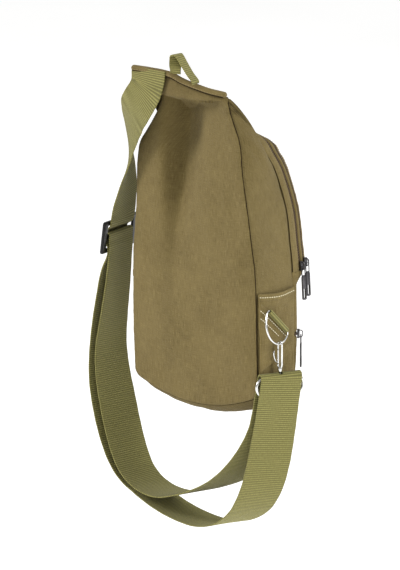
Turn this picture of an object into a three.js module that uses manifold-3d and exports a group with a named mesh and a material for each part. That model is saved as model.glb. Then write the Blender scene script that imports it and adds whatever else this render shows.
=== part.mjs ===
// Canvas crossbody bag with a webbing strap, hanging from the small loop on its top seam.
// Millimetres. +Z is up, +X is towards the side with the clip, +Y is towards the front with the zips.
import * as THREE from 'three';
import { mergeVertices } from 'three/addons/utils/BufferGeometryUtils.js';
import Module from 'manifold-3d';

// Bag sizes
const HALF_WIDTH = 93;
const BAG_HEIGHT = 322;
const BACK_Y = -36;
const GUSSET_DEPTH = 60;
const FRONT_DEPTH = 71;
const BOTTOM_SAG = 16.5;
const CORNER_RADIUS = 11;
const CORNER_DEGREES = 69;
const CORNER_HEIGHT = 8;
const CANVAS = 2;
const GAP = 0.3;
const VALLEY_DEPTH = 17;
const VALLEY_X = -14;
const VALLEY_WIDTH = 34;
const FLAP_DEPTH = 15;
const NECK_HEIGHT = 313;

// Zip arch on the front
const ARCH_FOOT = 129;
const ARCH_SHOULDER = 266;
const ARCH_RISE = 38;
const ARCH_START = 10;
const BAND_WIDTH = 11.5;
const ZIP_WIDTH = 4;
const STRIP_WIDTH = 3.5;
const FRONT_BULGE = 4;
const SIDE_PITCH = 4;
const CROWN_PITCH = 52;
const CROWN_SWELL = 0.06;
const BOTTOM_SWELL = 0.19;
const POCKET_BELLY = 3;
const POCKET_ROUNDNESS = 0.4;
const SHELF_HEIGHT = 16;
const TURN_SHARE = 0.04;

// Front pocket, side pockets and side tab
const POCKET_ZIP_HEIGHT = 61;
const SIDE_POCKET_TOP = 114;
const SIDE_CLOTH = 1.6;
const TAB_TOP = 105;
const TAB_BOTTOM = 29;
const TAB_REACH = 52;
const TAB_TIP_HEIGHT = 57;

// Ring on the side tab, turned about the line across the bag
const RING_WIRE = 2.4;
const RING_HALF_WIDTH = 21;
const RING_DEPTH = 26;
const RING_Y = -10.3;
const RING_Z = 82.5;
const RING_TURN = 43;
const RING_TILT = 16;
const RING_SLEEVE = 37;

// Snap hook and its eye
const HOOK_ROD = 2.3;
const HOOK_GAP = 3.2;
const HOOK_LENGTH = 36;
const NOSE_LENGTH = 6;
const GATE_LENGTH = 16;
const GATE_ROD = 2;
const LEVER_ROD = 1.3;
const STEM_DIAMETER = 2.2;
const EYE_WIRE = 3.2;
const EYE_HALF_WIDTH = 28.5;
const EYE_HEIGHT = 20;
const EYE_BOSS = 5;
const EYE_BOSS_HEIGHT = 3.5;

// Webbing strap and its slider
const STRAP_WIDTH = 50;
const WEBBING = 1.5;
const STRAP_SPREAD = 140;
const STRAP_DROP = 153;
const FOLD_RADIUS = 4.1;
const STRAP_TURN = -107;
const GLIDE_WIDTH = 71;
const GLIDE_END = 9;
const GLIDE_BAR = 5;
const GLIDE_CORNER = 3;
const GLIDE_MIDDLE_BAR = 4.4;
const GLIDE_SLOT = 10.8;
const GLIDE_THICKNESS = 3;
const GLIDE_X = -125;
const GLIDE_Y = -25;
const GLIDE_Z = 149;
const GLIDE_LEAN = 7;
const GLIDE_TURN = -76;

// Top binding and hanging loop
const BINDING_HEIGHT = 5;
const BINDING_THICKNESS = 6.4;
const BINDING_RISE = 0.6;
const LOOP_WIDTH = 13;
const LOOP_RISE = 19;

// Zip sliders and pulls
const SLIDER_LENGTH = 10;
const SLIDER_WIDTH = 5.6;
const SLIDER_THICKNESS = 2.4;
const BRIDGE_RISE = 3.4;
const PULL_WIRE = 1.1;
const PULL_LENGTH = 35;
const PULL_LINK = 8;
const PULL_WIDTH = 6.4;
const PULL_THICKNESS = 1.6;
const PULL_HOLE = 10;
const BRIDGE_WIDTH = 1.6;
const BRIDGE_THICKNESS = 1;

// Outline of the back panel: rise is a share of BAG_HEIGHT, right and left are shares of HALF_WIDTH,
// and front is the left side's share at the gusset's front seam
const OUTLINE = [
  { rise: 0, right: 0.995, left: 0.968, front: 0.968 },
  { rise: 0.18, right: 0.978, left: 0.998, front: 0.988 },
  { rise: 0.351, right: 0.962, left: 1, front: 0.98 },
  { rise: 0.438, right: 0.941, left: 0.994, front: 0.96 },
  { rise: 0.506, right: 0.898, left: 0.972, front: 0.93 },
  { rise: 0.599, right: 0.844, left: 0.946, front: 0.885 },
  { rise: 0.668, right: 0.801, left: 0.942, front: 0.85 },
  { rise: 0.739, right: 0.753, left: 0.93, front: 0.805 },
  { rise: 0.8, right: 0.728, left: 0.885, front: 0.768 },
  { rise: 0.839, right: 0.715, left: 0.79, front: 0.745 },
  { rise: 0.879, right: 0.672, left: 0.69, front: 0.71 },
  { rise: 0.938, right: 0.575, left: 0.565, front: 0.64 },
  { rise: 1, right: 0.505, left: 0.51, front: 0.55 },
  { rise: 1.06, right: 0.505, left: 0.51, front: 0.5 },
];

// Top seam: side is a share of HALF_WIDTH, out a share of FLAP_DEPTH, rise a share of BAG_HEIGHT
const TOP_SEAM = [
  { side: -0.82, out: 1.2, rise: 1.056 },
  { side: -0.52, out: 1.08, rise: 1.056 },
  { side: -0.24, out: 1, rise: 1.053 },
  { side: -0.06, out: 0.87, rise: 1.037 },
  { side: 0.12, out: 0.67, rise: 1.024 },
  { side: 0.32, out: 0.36, rise: 1.012 },
  { side: 0.505, out: -0.1, rise: 1.003 },
];

// Gusset depth at its front seam and how far it swells, as shares of GUSSET_DEPTH
const GUSSET = [
  { rise: 0, depth: 0.96, swell: 0.05 },
  { rise: 0.2, depth: 1, swell: 0.035 },
  { rise: 0.45, depth: 1.01, swell: 0.035 },
  { rise: 0.59, depth: 1.035, swell: 0.04 },
  { rise: 0.675, depth: 0.97, swell: 0.05 },
  { rise: 0.75, depth: 0.86, swell: 0.06 },
  { rise: 0.82, depth: 0.63, swell: 0.09 },
  { rise: 0.9, depth: 0.42, swell: 0.15 },
  { rise: 1.06, depth: 0.4, swell: 0.12 },
];

// Flap under the top seam: up is a share of the way from the neck to the seam, out of FLAP_DEPTH
const FLAP = [
  { up: 0, out: 0.05, drop: 0 },
  { up: 0.16, out: 0.5, drop: 0.1 },
  { up: 0.3, out: 0.95, drop: 0.16 },
  { up: 0.45, out: 1.12, drop: 0.1 },
  { up: 0.7, out: 1.12, drop: 0.02 },
  { up: 1, out: 1, drop: 0 },
];

const v3 = (x, y, z) => new THREE.Vector3(x, y, z);
const mix = (a, b, t) => a + (b - a) * t;
const clamp01 = (t) => Math.min(1, Math.max(0, t));
const smooth = (t) => clamp01(t) ** 2 * (3 - 2 * clamp01(t));
const radians = (degrees) => (degrees * Math.PI) / 180;
const level = (direction) => direction.clone().setZ(0).normalize();

// Smooth value of one column of a table at a place along its key column
function read(table, key, place, column) {
  const last = table.length - 1;
  let i = 0;
  while (i < last - 1 && place > table[i + 1][key]) i += 1;
  const a = table[i];
  const b = table[i + 1];
  const span = b[key] - a[key];
  const t = clamp01((place - a[key]) / span);
  const before = table[Math.max(0, i - 1)];
  const after = table[Math.min(last, i + 2)];
  const slopeA = ((b[column] - before[column]) / (b[key] - before[key])) * span;
  const slopeB = ((after[column] - a[column]) / (after[key] - a[key])) * span;
  const t2 = t * t;
  const t3 = t2 * t;
  return (2 * t3 - 3 * t2 + 1) * a[column] + (t3 - 2 * t2 + t) * slopeA
    + (3 * t2 - 2 * t3) * b[column] + (t3 - t2) * slopeB;
}

// Closed body from points and triangles, turned so that its faces point out
function body(points, faces) {
  let volume = 0;
  for (const [a, b, c] of faces) {
    volume += points[a].dot(v3(0, 0, 0).crossVectors(points[b], points[c]));
  }
  const geometry = new THREE.BufferGeometry();
  const flat = points.flatMap((p) => [p.x, p.y, p.z]);
  geometry.setAttribute('position', new THREE.Float32BufferAttribute(flat, 3));
  geometry.setIndex(faces.flatMap(([a, b, c]) => (volume < 0 ? [a, c, b] : [a, b, c])));
  geometry.computeVertexNormals();
  return geometry;
}

// Unit vectors square to a grid of points, on the side that faces the given point
function insets(grid, inside, closed = false) {
  const rows = grid.length;
  return grid.map((row, i) => row.map((point, j) => {
    const columns = row.length;
    const next = closed ? (i + 1) % rows : Math.min(rows - 1, i + 1);
    const before = closed ? (i + rows - 1) % rows : Math.max(0, i - 1);
    const along = grid[next][j].clone().sub(grid[before][j]);
    const across = row[Math.min(columns - 1, j + 1)].clone().sub(row[Math.max(0, j - 1)]);
    const normal = along.cross(across).normalize();
    return normal.dot(inside.clone().sub(point)) < 0 ? normal.negate() : normal;
  }));
}

// Cloth wall: the grid is its outer face, and the inner face is set in by the thickness
function wall(grid, inset, thickness, closed = false) {
  const rows = grid.length;
  const columns = grid[0].length;
  const points = [];
  const faces = [];
  for (const side of [0, 1]) {
    grid.forEach((row, i) => row.forEach((point, j) => {
      points.push(point.clone().addScaledVector(inset[i][j], side * thickness));
    }));
  }
  const at = (side, i, j) => side * rows * columns + (i % rows) * columns + j;
  const quad = (a, b, c, d) => faces.push([a, b, c], [a, c, d]);
  const last = closed ? rows : rows - 1;
  for (let i = 0; i < last; i += 1) {
    for (let j = 0; j < columns - 1; j += 1) {
      quad(at(0, i, j), at(0, i + 1, j), at(0, i + 1, j + 1), at(0, i, j + 1));
      quad(at(1, i, j), at(1, i, j + 1), at(1, i + 1, j + 1), at(1, i + 1, j));
    }
    quad(at(0, i, 0), at(1, i, 0), at(1, i + 1, 0), at(0, i + 1, 0));
    const end = columns - 1;
    quad(at(0, i, end), at(0, i + 1, end), at(1, i + 1, end), at(1, i, end));
  }
  if (!closed) {
    for (let j = 0; j < columns - 1; j += 1) {
      quad(at(0, 0, j), at(0, 0, j + 1), at(1, 0, j + 1), at(1, 0, j));
      quad(at(0, last, j), at(1, last, j), at(1, last, j + 1), at(0, last, j + 1));
    }
  }
  return body(points, faces);
}

// Solid swept along stations, each with a place and a direction across, under a flat profile
function sweep(stations, profile, closed = false) {
  const count = stations.length;
  const sides = profile.length;
  const points = [];
  const faces = [];
  stations.forEach((station, i) => {
    const next = stations[closed ? (i + 1) % count : Math.min(count - 1, i + 1)].at;
    const before = stations[closed ? (i + count - 1) % count : Math.max(0, i - 1)].at;
    const tangent = next.clone().sub(before).normalize();
    const normal = tangent.clone().cross(station.across).normalize();
    const across = normal.clone().cross(tangent).normalize();
    for (const [a, n] of profile) {
      points.push(station.at.clone().addScaledVector(across, a).addScaledVector(normal, n));
    }
  });
  const last = closed ? count : count - 1;
  for (let i = 0; i < last; i += 1) {
    for (let j = 0; j < sides; j += 1) {
      const a = i * sides + j;
      const b = i * sides + ((j + 1) % sides);
      const c = ((i + 1) % count) * sides + ((j + 1) % sides);
      const d = ((i + 1) % count) * sides + j;
      faces.push([a, b, c], [a, c, d]);
    }
  }
  if (!closed) {
    const end = (count - 1) * sides;
    for (let j = 1; j < sides - 1; j += 1) {
      faces.push([0, j + 1, j], [end, end + j, end + j + 1]);
    }
  }
  return body(points, faces);
}

// Profiles for sweeping
const round = (diameter, sides = 8) => Array.from({ length: sides }, (unused, i) => {
  const turn = (2 * Math.PI * (i + 0.5)) / sides;
  return [(diameter / 2) * Math.cos(turn), (diameter / 2) * Math.sin(turn)];
});
const flat = (width, thickness) => [
  [-width / 2, -thickness / 2],
  [width / 2, -thickness / 2],
  [width / 2, thickness / 2],
  [-width / 2, thickness / 2],
];

const bag = new THREE.Group();
const canvas = { color: 0x87764f, roughness: 0.95, metalness: 0 };
const webbing = { color: 0x8c8a55, roughness: 0.9, metalness: 0 };
const tape = { color: 0x3d3422, roughness: 0.8, metalness: 0 };
const steel = { color: 0xc9c9c6, roughness: 0.25, metalness: 1 };
const gunmetal = { color: 0x47464a, roughness: 0.35, metalness: 1 };
const plastic = { color: 0x101012, roughness: 0.25, metalness: 0 };

function add(name, geometry, look, parent = bag) {
  const mesh = new THREE.Mesh(geometry, new THREE.MeshStandardMaterial(look));
  mesh.name = name;
  parent.add(mesh);
  return mesh;
}

// Back panel outline
const sideX = (side, z, left = 'left') => side * HALF_WIDTH
  * read(OUTLINE, 'rise', z / BAG_HEIGHT, side > 0 ? 'right' : left);

function seamPoint(share) {
  const side = mix(TOP_SEAM[0].side, TOP_SEAM[TOP_SEAM.length - 1].side, share);
  return v3(
    side * HALF_WIDTH,
    BACK_Y - FLAP_DEPTH * read(TOP_SEAM, 'side', side, 'out'),
    BAG_HEIGHT * read(TOP_SEAM, 'side', side, 'rise'),
  );
}
const SEAM_START = (-0.51 - TOP_SEAM[0].side) / (TOP_SEAM[TOP_SEAM.length - 1].side - TOP_SEAM[0].side);

// Point of the bottom seam, share 0 at the left corner's middle and 1 at the right one's
const cornerTurn = radians(CORNER_DEGREES);
const cornerZ = CORNER_HEIGHT;
function bottomPoint(share) {
  const right = sideX(1, cornerZ) - CORNER_RADIUS;
  const left = sideX(-1, cornerZ) + CORNER_RADIUS;
  const lowest = cornerZ - CORNER_RADIUS * Math.sin(cornerTurn);
  const reach = CORNER_RADIUS * Math.cos(cornerTurn);
  const turnShare = 0.07;
  if (share > 1 - turnShare) {
    const turn = mix(cornerTurn, cornerTurn / 2, (share - 1 + turnShare) / turnShare);
    return v3(right + CORNER_RADIUS * Math.cos(turn), 0, cornerZ - CORNER_RADIUS * Math.sin(turn));
  }
  if (share < turnShare) {
    const turn = mix(cornerTurn / 2, cornerTurn, share / turnShare);
    return v3(left - CORNER_RADIUS * Math.cos(turn), 0, cornerZ - CORNER_RADIUS * Math.sin(turn));
  }
  const across = (share - turnShare) / (1 - 2 * turnShare);
  return v3(mix(left - reach, right + reach, across), 0, lowest - BOTTOM_SAG * 4 * across * (1 - across));
}

// Point of a side of the outline, share 0 at the corner's middle and 1 at the given top height
function sidePoint(side, share, top) {
  if (share < TURN_SHARE) {
    const turn = (cornerTurn / 2) * (1 - share / TURN_SHARE);
    const centre = sideX(side, cornerZ) - side * CORNER_RADIUS;
    return v3(centre + side * CORNER_RADIUS * Math.cos(turn), 0, cornerZ - CORNER_RADIUS * Math.sin(turn));
  }
  const z = mix(cornerZ, top, (share - TURN_SHARE) / (1 - TURN_SHARE));
  return v3(sideX(side, z), 0, z);
}

// Back panel: a patch between its four edges, with the valley down its middle and the flap at its top
const PANEL_COLUMNS = 18;
const panelShares = [];
const footShare = TURN_SHARE + (1 - TURN_SHARE) * ((ARCH_FOOT - cornerZ) / (ARCH_SHOULDER - cornerZ));
const FLAP_SHARE = 0.925;
const FOOT_ROWS = 10;
const BODY_ROWS = 9;
const FLAP_ROWS = 7;
for (let i = 0; i <= FOOT_ROWS; i += 1) panelShares.push(mix(0, footShare, i / FOOT_ROWS));
for (let i = 1; i <= BODY_ROWS; i += 1) panelShares.push(mix(footShare, FLAP_SHARE, i / BODY_ROWS));
for (let i = 1; i <= FLAP_ROWS; i += 1) panelShares.push(mix(FLAP_SHARE, 1, i / FLAP_ROWS));

function panelPoint(across, share) {
  const seam = seamPoint(mix(SEAM_START, 1, across));
  const leftTop = seamPoint(SEAM_START);
  const rightTop = seamPoint(1);
  const left = sidePoint(-1, share, leftTop.z);
  const right = sidePoint(1, share, rightTop.z);
  const low = bottomPoint(across);
  const corners = [bottomPoint(0), bottomPoint(1), leftTop, rightTop];
  const patch = (axis) => {
    const lowEnds = mix(corners[0][axis], corners[1][axis], across);
    const highEnds = mix(corners[2][axis], corners[3][axis], across);
    const sides = mix(left[axis], right[axis], across);
    return mix(low[axis], seam[axis], share) + sides - mix(lowEnds, highEnds, share);
  };
  const x = patch('x');
  const z = patch('z');
  const neck = NECK_HEIGHT;
  const up = clamp01((z - neck) / (seam.z - neck));
  const out = (BACK_Y - seam.y) * read(FLAP, 'up', up, 'out') * (up > 0 ? 1 : 0);
  const drop = (BACK_Y - seam.y) * read(FLAP, 'up', up, 'drop') * 2 * smooth(4 * across * (1 - across));
  const edge = smooth(Math.min(across, 1 - across) * 5);
  const climb = smooth((z / BAG_HEIGHT - 0.36) / 0.6) * (1 - smooth((z / BAG_HEIGHT - 0.88) / 0.09));
  const wide = VALLEY_WIDTH * mix(0.6, 1, smooth((z / BAG_HEIGHT - 0.7) / 0.25));
  const valley = VALLEY_DEPTH * climb * Math.exp(-(((x - VALLEY_X) / wide) ** 2));
  const puff = 3 * smooth(z / 60) * (1 - climb * 0.6) * (1 - smooth(up * 3));
  return v3(x, BACK_Y - out + (valley - puff) * edge, z - drop);
}
const panelGrid = panelShares.map((share) => Array.from(
  { length: PANEL_COLUMNS + 1 },
  (unused, j) => panelPoint(j / PANEL_COLUMNS, share),
));
const FAR = 4000;
const ahead = v3(0, FAR, 0);
const behind = v3(0, -FAR, 0);
const panelInsets = insets(panelGrid, ahead);
add('back_panel', wall(panelGrid, panelInsets, CANVAS), canvas);

// Gusset: a ring of cloth from the back panel's edge to the front seam, line A
function archPoint(across) {
  const right = sideX(1, ARCH_SHOULDER);
  const left = sideX(-1, ARCH_SHOULDER, 'front');
  const start = radians(ARCH_START);
  const turn = mix(Math.PI - start, start, across);
  const lift = (Math.sin(turn) - Math.sin(start)) / (1 - Math.sin(start));
  const x = mix(left, right, (1 + Math.cos(turn) / Math.cos(start)) / 2);
  const depth = read(GUSSET, 'rise', ARCH_SHOULDER / BAG_HEIGHT, 'depth') * GUSSET_DEPTH;
  return v3(x, BACK_Y + mix(depth, depth * 0.72, lift), ARCH_SHOULDER + ARCH_RISE * lift);
}
function sideFront(side, share) {
  const at = sidePoint(side, share, ARCH_SHOULDER);
  if (at.z > cornerZ) at.x = sideX(side, at.z, 'front');
  at.y = BACK_Y + GUSSET_DEPTH * read(GUSSET, 'rise', at.z / BAG_HEIGHT, 'depth');
  return at;
}
function bottomFront(across) {
  const at = bottomPoint(across);
  at.y = BACK_Y + GUSSET_DEPTH * GUSSET[0].depth;
  return at;
}

const TOP_ROW = panelShares.length - 1;
const ring = [];
function rib(row, column, front, swell, pitch, part) {
  const normal = panelInsets[row][column];
  const back = panelGrid[row][column].clone().addScaledVector(normal, CANVAS + GAP);
  ring.push({ back, front, swell, pitch, part, normal });
}
const sideSwell = (row) => read(GUSSET, 'rise', panelGrid[row][0].z / BAG_HEIGHT, 'swell');
const sidePitch = (row) => SIDE_PITCH * (1 + smooth(panelShares[row]));
for (let row = 0; row <= TOP_ROW; row += 1) {
  rib(row, PANEL_COLUMNS, sideFront(1, panelShares[row]), sideSwell(row), sidePitch(row), 'right');
}
for (let column = PANEL_COLUMNS - 1; column > 0; column -= 1) {
  const across = column / PANEL_COLUMNS;
  const pitch = mix(2 * SIDE_PITCH, CROWN_PITCH, smooth(4 * across * (1 - across)));
  rib(TOP_ROW, column, archPoint(across), CROWN_SWELL, pitch, 'crown');
}
for (let row = TOP_ROW; row >= 0; row -= 1) {
  rib(row, 0, sideFront(-1, panelShares[row]), sideSwell(row), sidePitch(row), 'left');
}
for (let column = 1; column < PANEL_COLUMNS; column += 1) {
  const across = column / PANEL_COLUMNS;
  const swell = mix(GUSSET[0].swell, BOTTOM_SWELL, smooth(6 * Math.min(across, 1 - across)));
  rib(0, column, bottomFront(across), swell, 0, 'bottom');
}

// At the front seam, inward points into the bag, ahead leads on to the zips and inset is square to both
ring.forEach((station, i) => {
  const next = ring[(i + 1) % ring.length].front;
  const before = ring[(i + ring.length - 1) % ring.length].front;
  const along = next.clone().sub(before).setY(0).normalize();
  const turn = radians(station.pitch);
  station.inward = v3(-along.z, 0, along.x);
  station.ahead = station.inward.clone().multiplyScalar(Math.sin(turn)).setY(Math.cos(turn));
  station.inset = station.inward.clone().multiplyScalar(Math.cos(turn)).setY(-Math.sin(turn));
});
function gussetPoint(station, share) {
  const swell = GUSSET_DEPTH * station.swell * Math.sin(Math.PI * share ** 0.8);
  return station.back.clone().lerp(station.front, share).addScaledVector(station.inward, -swell);
}
const GUSSET_COLUMNS = 4;
const gussetGrid = ring.map((station) => Array.from(
  { length: GUSSET_COLUMNS + 1 },
  (unused, j) => gussetPoint(station, j / GUSSET_COLUMNS),
));
const middle = v3(0, 0, BAG_HEIGHT / 2);
const gussetInsets = insets(gussetGrid, middle, true);
ring.forEach((station, i) => {
  const tilt = station.inward.dot(station.normal);
  gussetInsets[i][0] = station.inward.clone().addScaledVector(station.normal, -tilt).normalize();
  gussetInsets[i][GUSSET_COLUMNS] = station.inset.clone();
});
add('gusset', wall(gussetGrid, gussetInsets, CANVAS, true), canvas);

// Zip arch: strips that follow each other ahead of the gusset's front seam
const archEnd = ring.length - PANEL_COLUMNS - FOOT_ROWS;
const arch = ring.slice(FOOT_ROWS, archEnd + 1);
const lane = (station, reach) => station.front.clone().addScaledVector(station.ahead, reach);
let laneStart = 0;
function archStrip(name, width, look) {
  const from = laneStart + GAP;
  const to = laneStart + width;
  const grid = arch.map((station) => [lane(station, from), lane(station, to)]);
  const last = arch.length - 1;
  const inset = arch.map((station, i) => (i % last ? station.inset : level(station.inset)));
  add(name, wall(grid, inset.map((direction) => [direction, direction]), CANVAS), look);
  laneStart = to;
}
archStrip('zip_band', BAND_WIDTH, canvas);
archStrip('main_zip', ZIP_WIDTH, tape);
archStrip('middle_strip', STRIP_WIDTH, canvas);
archStrip('front_zip', ZIP_WIDTH, tape);
const archReach = laneStart + 3 * GAP;

// Front panel inside the arch
const frontRows = TOP_ROW - FOOT_ROWS;
const archRight = arch.slice(0, frontRows + 1);
const archCrown = arch.slice(frontRows, arch.length - frontRows).reverse();
const archLeft = arch.slice(arch.length - frontRows - 1).reverse();
const frontGrid = [];
for (let i = 0; i <= frontRows; i += 1) {
  const up = (panelShares[FOOT_ROWS + i] - footShare) / (1 - footShare);
  const row = [];
  for (let j = 0; j <= PANEL_COLUMNS; j += 1) {
    const across = j / PANEL_COLUMNS;
    const low = lane(archLeft[0], archReach).lerp(lane(archRight[0], archReach), across);
    const high = lane(archCrown[j], archReach);
    const left = lane(archLeft[i], archReach);
    const right = lane(archRight[i], archReach);
    const highEnds = lane(archCrown[0], archReach).lerp(lane(archCrown[PANEL_COLUMNS], archReach), across);
    const point = low.clone().lerp(high, up).add(left.lerp(right, across)).sub(low.lerp(highEnds, up));
    point.y += FRONT_BULGE * (1 - Math.abs(2 * across - 1) ** 4) * (1 - up ** 4);
    row.push(point);
  }
  frontGrid.push(row);
}
const frontInsets = insets(frontGrid, behind);
const turnIn = (inset, at, next) => (
  inset.clone().addScaledVector(next.clone().sub(at).normalize(), 0.6).normalize()
);
for (let i = 0; i <= frontRows; i += 1) {
  const row = frontGrid[i];
  frontInsets[i][0] = turnIn(archLeft[i].inset, row[0], row[1]);
  frontInsets[i][PANEL_COLUMNS] = turnIn(archRight[i].inset, row[PANEL_COLUMNS], row[PANEL_COLUMNS - 1]);
}
for (let j = 0; j <= PANEL_COLUMNS; j += 1) {
  const below = frontGrid[frontRows - 1][Math.min(PANEL_COLUMNS - 1, Math.max(1, j))];
  frontInsets[frontRows][j] = turnIn(archCrown[j].inset, frontGrid[frontRows][j], below);
}
frontInsets[0] = frontInsets[0].map(level);
add('front_panel', wall(frontGrid, frontInsets, CANVAS), canvas);

// Front pocket below the arch, in two pieces with a zip between them
const footHeight = arch[0].front.z;
const POCKET_COLUMNS = 16;
function pocketPoint(across, z) {
  const turn = Math.PI * (1 - across);
  const sideShare = TURN_SHARE + (1 - TURN_SHARE) * ((z - cornerZ) / (ARCH_SHOULDER - cornerZ));
  const right = sideFront(1, sideShare);
  const left = sideFront(-1, sideShare);
  const round = (value) => Math.sign(value) * Math.abs(value) ** POCKET_ROUNDNESS;
  const step = archReach + FRONT_BULGE - (FRONT_DEPTH - GUSSET_DEPTH);
  const depth = FRONT_DEPTH - GUSSET_DEPTH + step * smooth(1 - (footHeight - z) / SHELF_HEIGHT);
  return v3(
    mix(left.x, right.x, (1 + round(Math.cos(turn))) / 2),
    mix(left.y, right.y, across) + GAP + depth * round(Math.sin(turn)),
    z,
  );
}
function pocketWall(name, grid, look) {
  const inset = insets(grid, behind);
  inset[0] = inset[0].map(level);
  inset[inset.length - 1] = inset[inset.length - 1].map(level);
  inset.forEach((row) => {
    row[0] = v3(1, 0, 0);
    row[row.length - 1] = v3(-1, 0, 0);
  });
  add(name, wall(grid, inset, CANVAS), look);
}
function pocketBand(name, from, to, steps, look) {
  const grid = Array.from({ length: steps + 1 }, (unusedRow, i) => Array.from(
    { length: POCKET_COLUMNS + 1 },
    (unused, j) => pocketPoint(j / POCKET_COLUMNS, mix(from, to, i / steps)),
  ));
  pocketWall(name, grid, look);
}
const zipLow = POCKET_ZIP_HEIGHT - ZIP_WIDTH / 2;
const zipHigh = POCKET_ZIP_HEIGHT + ZIP_WIDTH / 2;
pocketBand('pocket_top', zipHigh + GAP, footHeight - GAP, 6, canvas);
pocketBand('pocket_zip', zipLow + GAP, zipHigh, 1, tape);
const lowShare = TURN_SHARE + (1 - TURN_SHARE) * ((zipLow - cornerZ) / (ARCH_SHOULDER - cornerZ));
const POCKET_ROWS = 6;
const pocketGrid = [];
for (let i = 0; i <= POCKET_ROWS; i += 1) {
  const up = i / POCKET_ROWS;
  const row = [];
  for (let j = 0; j <= POCKET_COLUMNS; j += 1) {
    const across = j / POCKET_COLUMNS;
    const spread = (1 - Math.cos(Math.PI * across)) / 2;
    const low = bottomFront(spread);
    const high = pocketPoint(across, zipLow);
    const left = sideFront(-1, up * lowShare);
    const right = sideFront(1, up * lowShare);
    const lowEnds = bottomFront(0).lerp(bottomFront(1), spread);
    const highEnds = pocketPoint(0, zipLow).lerp(pocketPoint(1, zipLow), spread);
    const point = low.lerp(high, up).add(left.lerp(right, spread)).sub(lowEnds.lerp(highEnds, up));
    point.y += GAP * (1 - up) + POCKET_BELLY * Math.sin(Math.PI * up) * Math.sin(Math.PI * across) ** 0.5;
    row.push(point);
  }
  pocketGrid.push(row);
}
const POCKET_FOCUS = v3(0, -400, 120);
const pocketInsets = insets(pocketGrid, POCKET_FOCUS);
pocketInsets.forEach((row, i) => {
  row[0] = i ? v3(1, 0, 0) : v3(0.8, 0, 0.6);
  row[POCKET_COLUMNS] = i ? v3(-1, 0, 0) : v3(-0.8, 0, 0.6);
});
for (let j = 1; j < POCKET_COLUMNS; j += 1) {
  pocketInsets[0][j] = v3(0, 0, 1);
  pocketInsets[POCKET_ROWS][j] = level(pocketInsets[POCKET_ROWS][j]);
}
add('pocket_front', wall(pocketGrid, pocketInsets, CANVAS), canvas);

// Side pockets: flat pockets of thinner cloth that lie on the gusset, open at the top
const part = (name) => ring.map((station, i) => i).filter((i) => ring[i].part === name);
function skin(rows, height, share) {
  const column = Math.min(GUSSET_COLUMNS - 1, Math.floor(share * GUSSET_COLUMNS));
  const t = share * GUSSET_COLUMNS - column;
  const at = (grid, i) => grid[i][column].clone().lerp(grid[i][column + 1], t);
  let k = 0;
  while (k < rows.length - 2 && at(gussetGrid, rows[k + 1]).z < height) k += 1;
  const low = at(gussetGrid, rows[k]);
  const high = at(gussetGrid, rows[k + 1]);
  const up = (height - low.z) / (high.z - low.z);
  const inset = at(gussetInsets, rows[k]).lerp(at(gussetInsets, rows[k + 1]), up).normalize();
  return { at: low.lerp(high, up), inset };
}
const rightRows = part('right');
const leftRows = part('left').reverse();
const POCKET_COVER = GAP + SIDE_CLOTH;
const POCKET_STEPS = 8;
for (const [name, rows] of [['side_pocket_right', rightRows], ['side_pocket_left', leftRows]]) {
  const grid = [];
  const inset = [];
  for (let i = 0; i <= POCKET_STEPS; i += 1) {
    const height = mix(cornerZ + SIDE_CLOTH, SIDE_POCKET_TOP, i / POCKET_STEPS);
    const row = Array.from({ length: 7 }, (unused, j) => skin(rows, height, mix(0.03, 0.97, j / 6)));
    grid.push(row.map((spot) => spot.at.addScaledVector(spot.inset, -POCKET_COVER - GAP)));
    inset.push(row.map((spot) => spot.inset));
  }
  add(name, wall(grid, inset, SIDE_CLOTH), canvas);
}

// Side tab: a triangle of canvas that comes out of the back seam and carries the ring
const TAB_STEPS = 5;
const TAB_INSET = 0.02;
const TAB_TIP_SHARE = 0.94;
const TAB_COVER = POCKET_COVER + 2 * GAP + CANVAS + 0.2;
function sideSpot(y, z, cover) {
  const low = skin(rightRows, z, TAB_INSET).at.y;
  const high = skin(rightRows, z, 1 - TAB_INSET).at.y;
  const spot = skin(rightRows, z, mix(TAB_INSET, 1 - TAB_INSET, clamp01((y - low) / (high - low))));
  return { at: spot.at.addScaledVector(spot.inset, -cover), inset: spot.inset };
}
const tabGrid = [];
const tabInsets = [];
for (let i = 0; i <= TAB_STEPS; i += 1) {
  const rise = i / TAB_STEPS;
  const row = [];
  for (let j = 0; j <= TAB_STEPS; j += 1) {
    const reach = (j / TAB_STEPS) * TAB_TIP_SHARE;
    const z = mix(mix(TAB_BOTTOM, TAB_TOP, rise), TAB_TIP_HEIGHT, reach);
    row.push(sideSpot(BACK_Y + CANVAS + 1 + TAB_REACH * reach, z, TAB_COVER));
  }
  tabGrid.push(row.map((spot) => spot.at));
  tabInsets.push(row.map((spot) => spot.inset));
}
add('side_tab', wall(tabGrid, tabInsets, CANVAS), canvas);

// Ring in a D shape, with its straight bar in a sleeve of webbing on the tab
const ringTurn = radians(RING_TURN);
const ringTilt = radians(RING_TILT);
const sleeveRadius = RING_WIRE / 2 + GAP + WEBBING / 2;
const ringX = sideSpot(RING_Y, RING_Z, TAB_COVER + GAP + WEBBING + GAP + RING_WIRE / 2).at.x;
const ringCentre = v3(ringX, RING_Y, RING_Z);
const ringAlong = v3(0, Math.cos(ringTurn), -Math.sin(ringTurn));
const ringOut = v3(
  Math.sin(ringTilt),
  -Math.sin(ringTurn) * Math.cos(ringTilt),
  -Math.cos(ringTurn) * Math.cos(ringTilt),
);
const ringSpot = (a, b) => ringCentre.clone().addScaledVector(ringAlong, a).addScaledVector(ringOut, b);
const ringPath = [];
const RING_CORNER = 3;
for (let i = 0; i <= 4; i += 1) ringPath.push(ringSpot((RING_HALF_WIDTH - RING_CORNER) * (i / 2 - 1), 0));
ringPath.push(ringSpot(RING_HALF_WIDTH - RING_CORNER * 0.3, RING_CORNER * 0.3));
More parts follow.
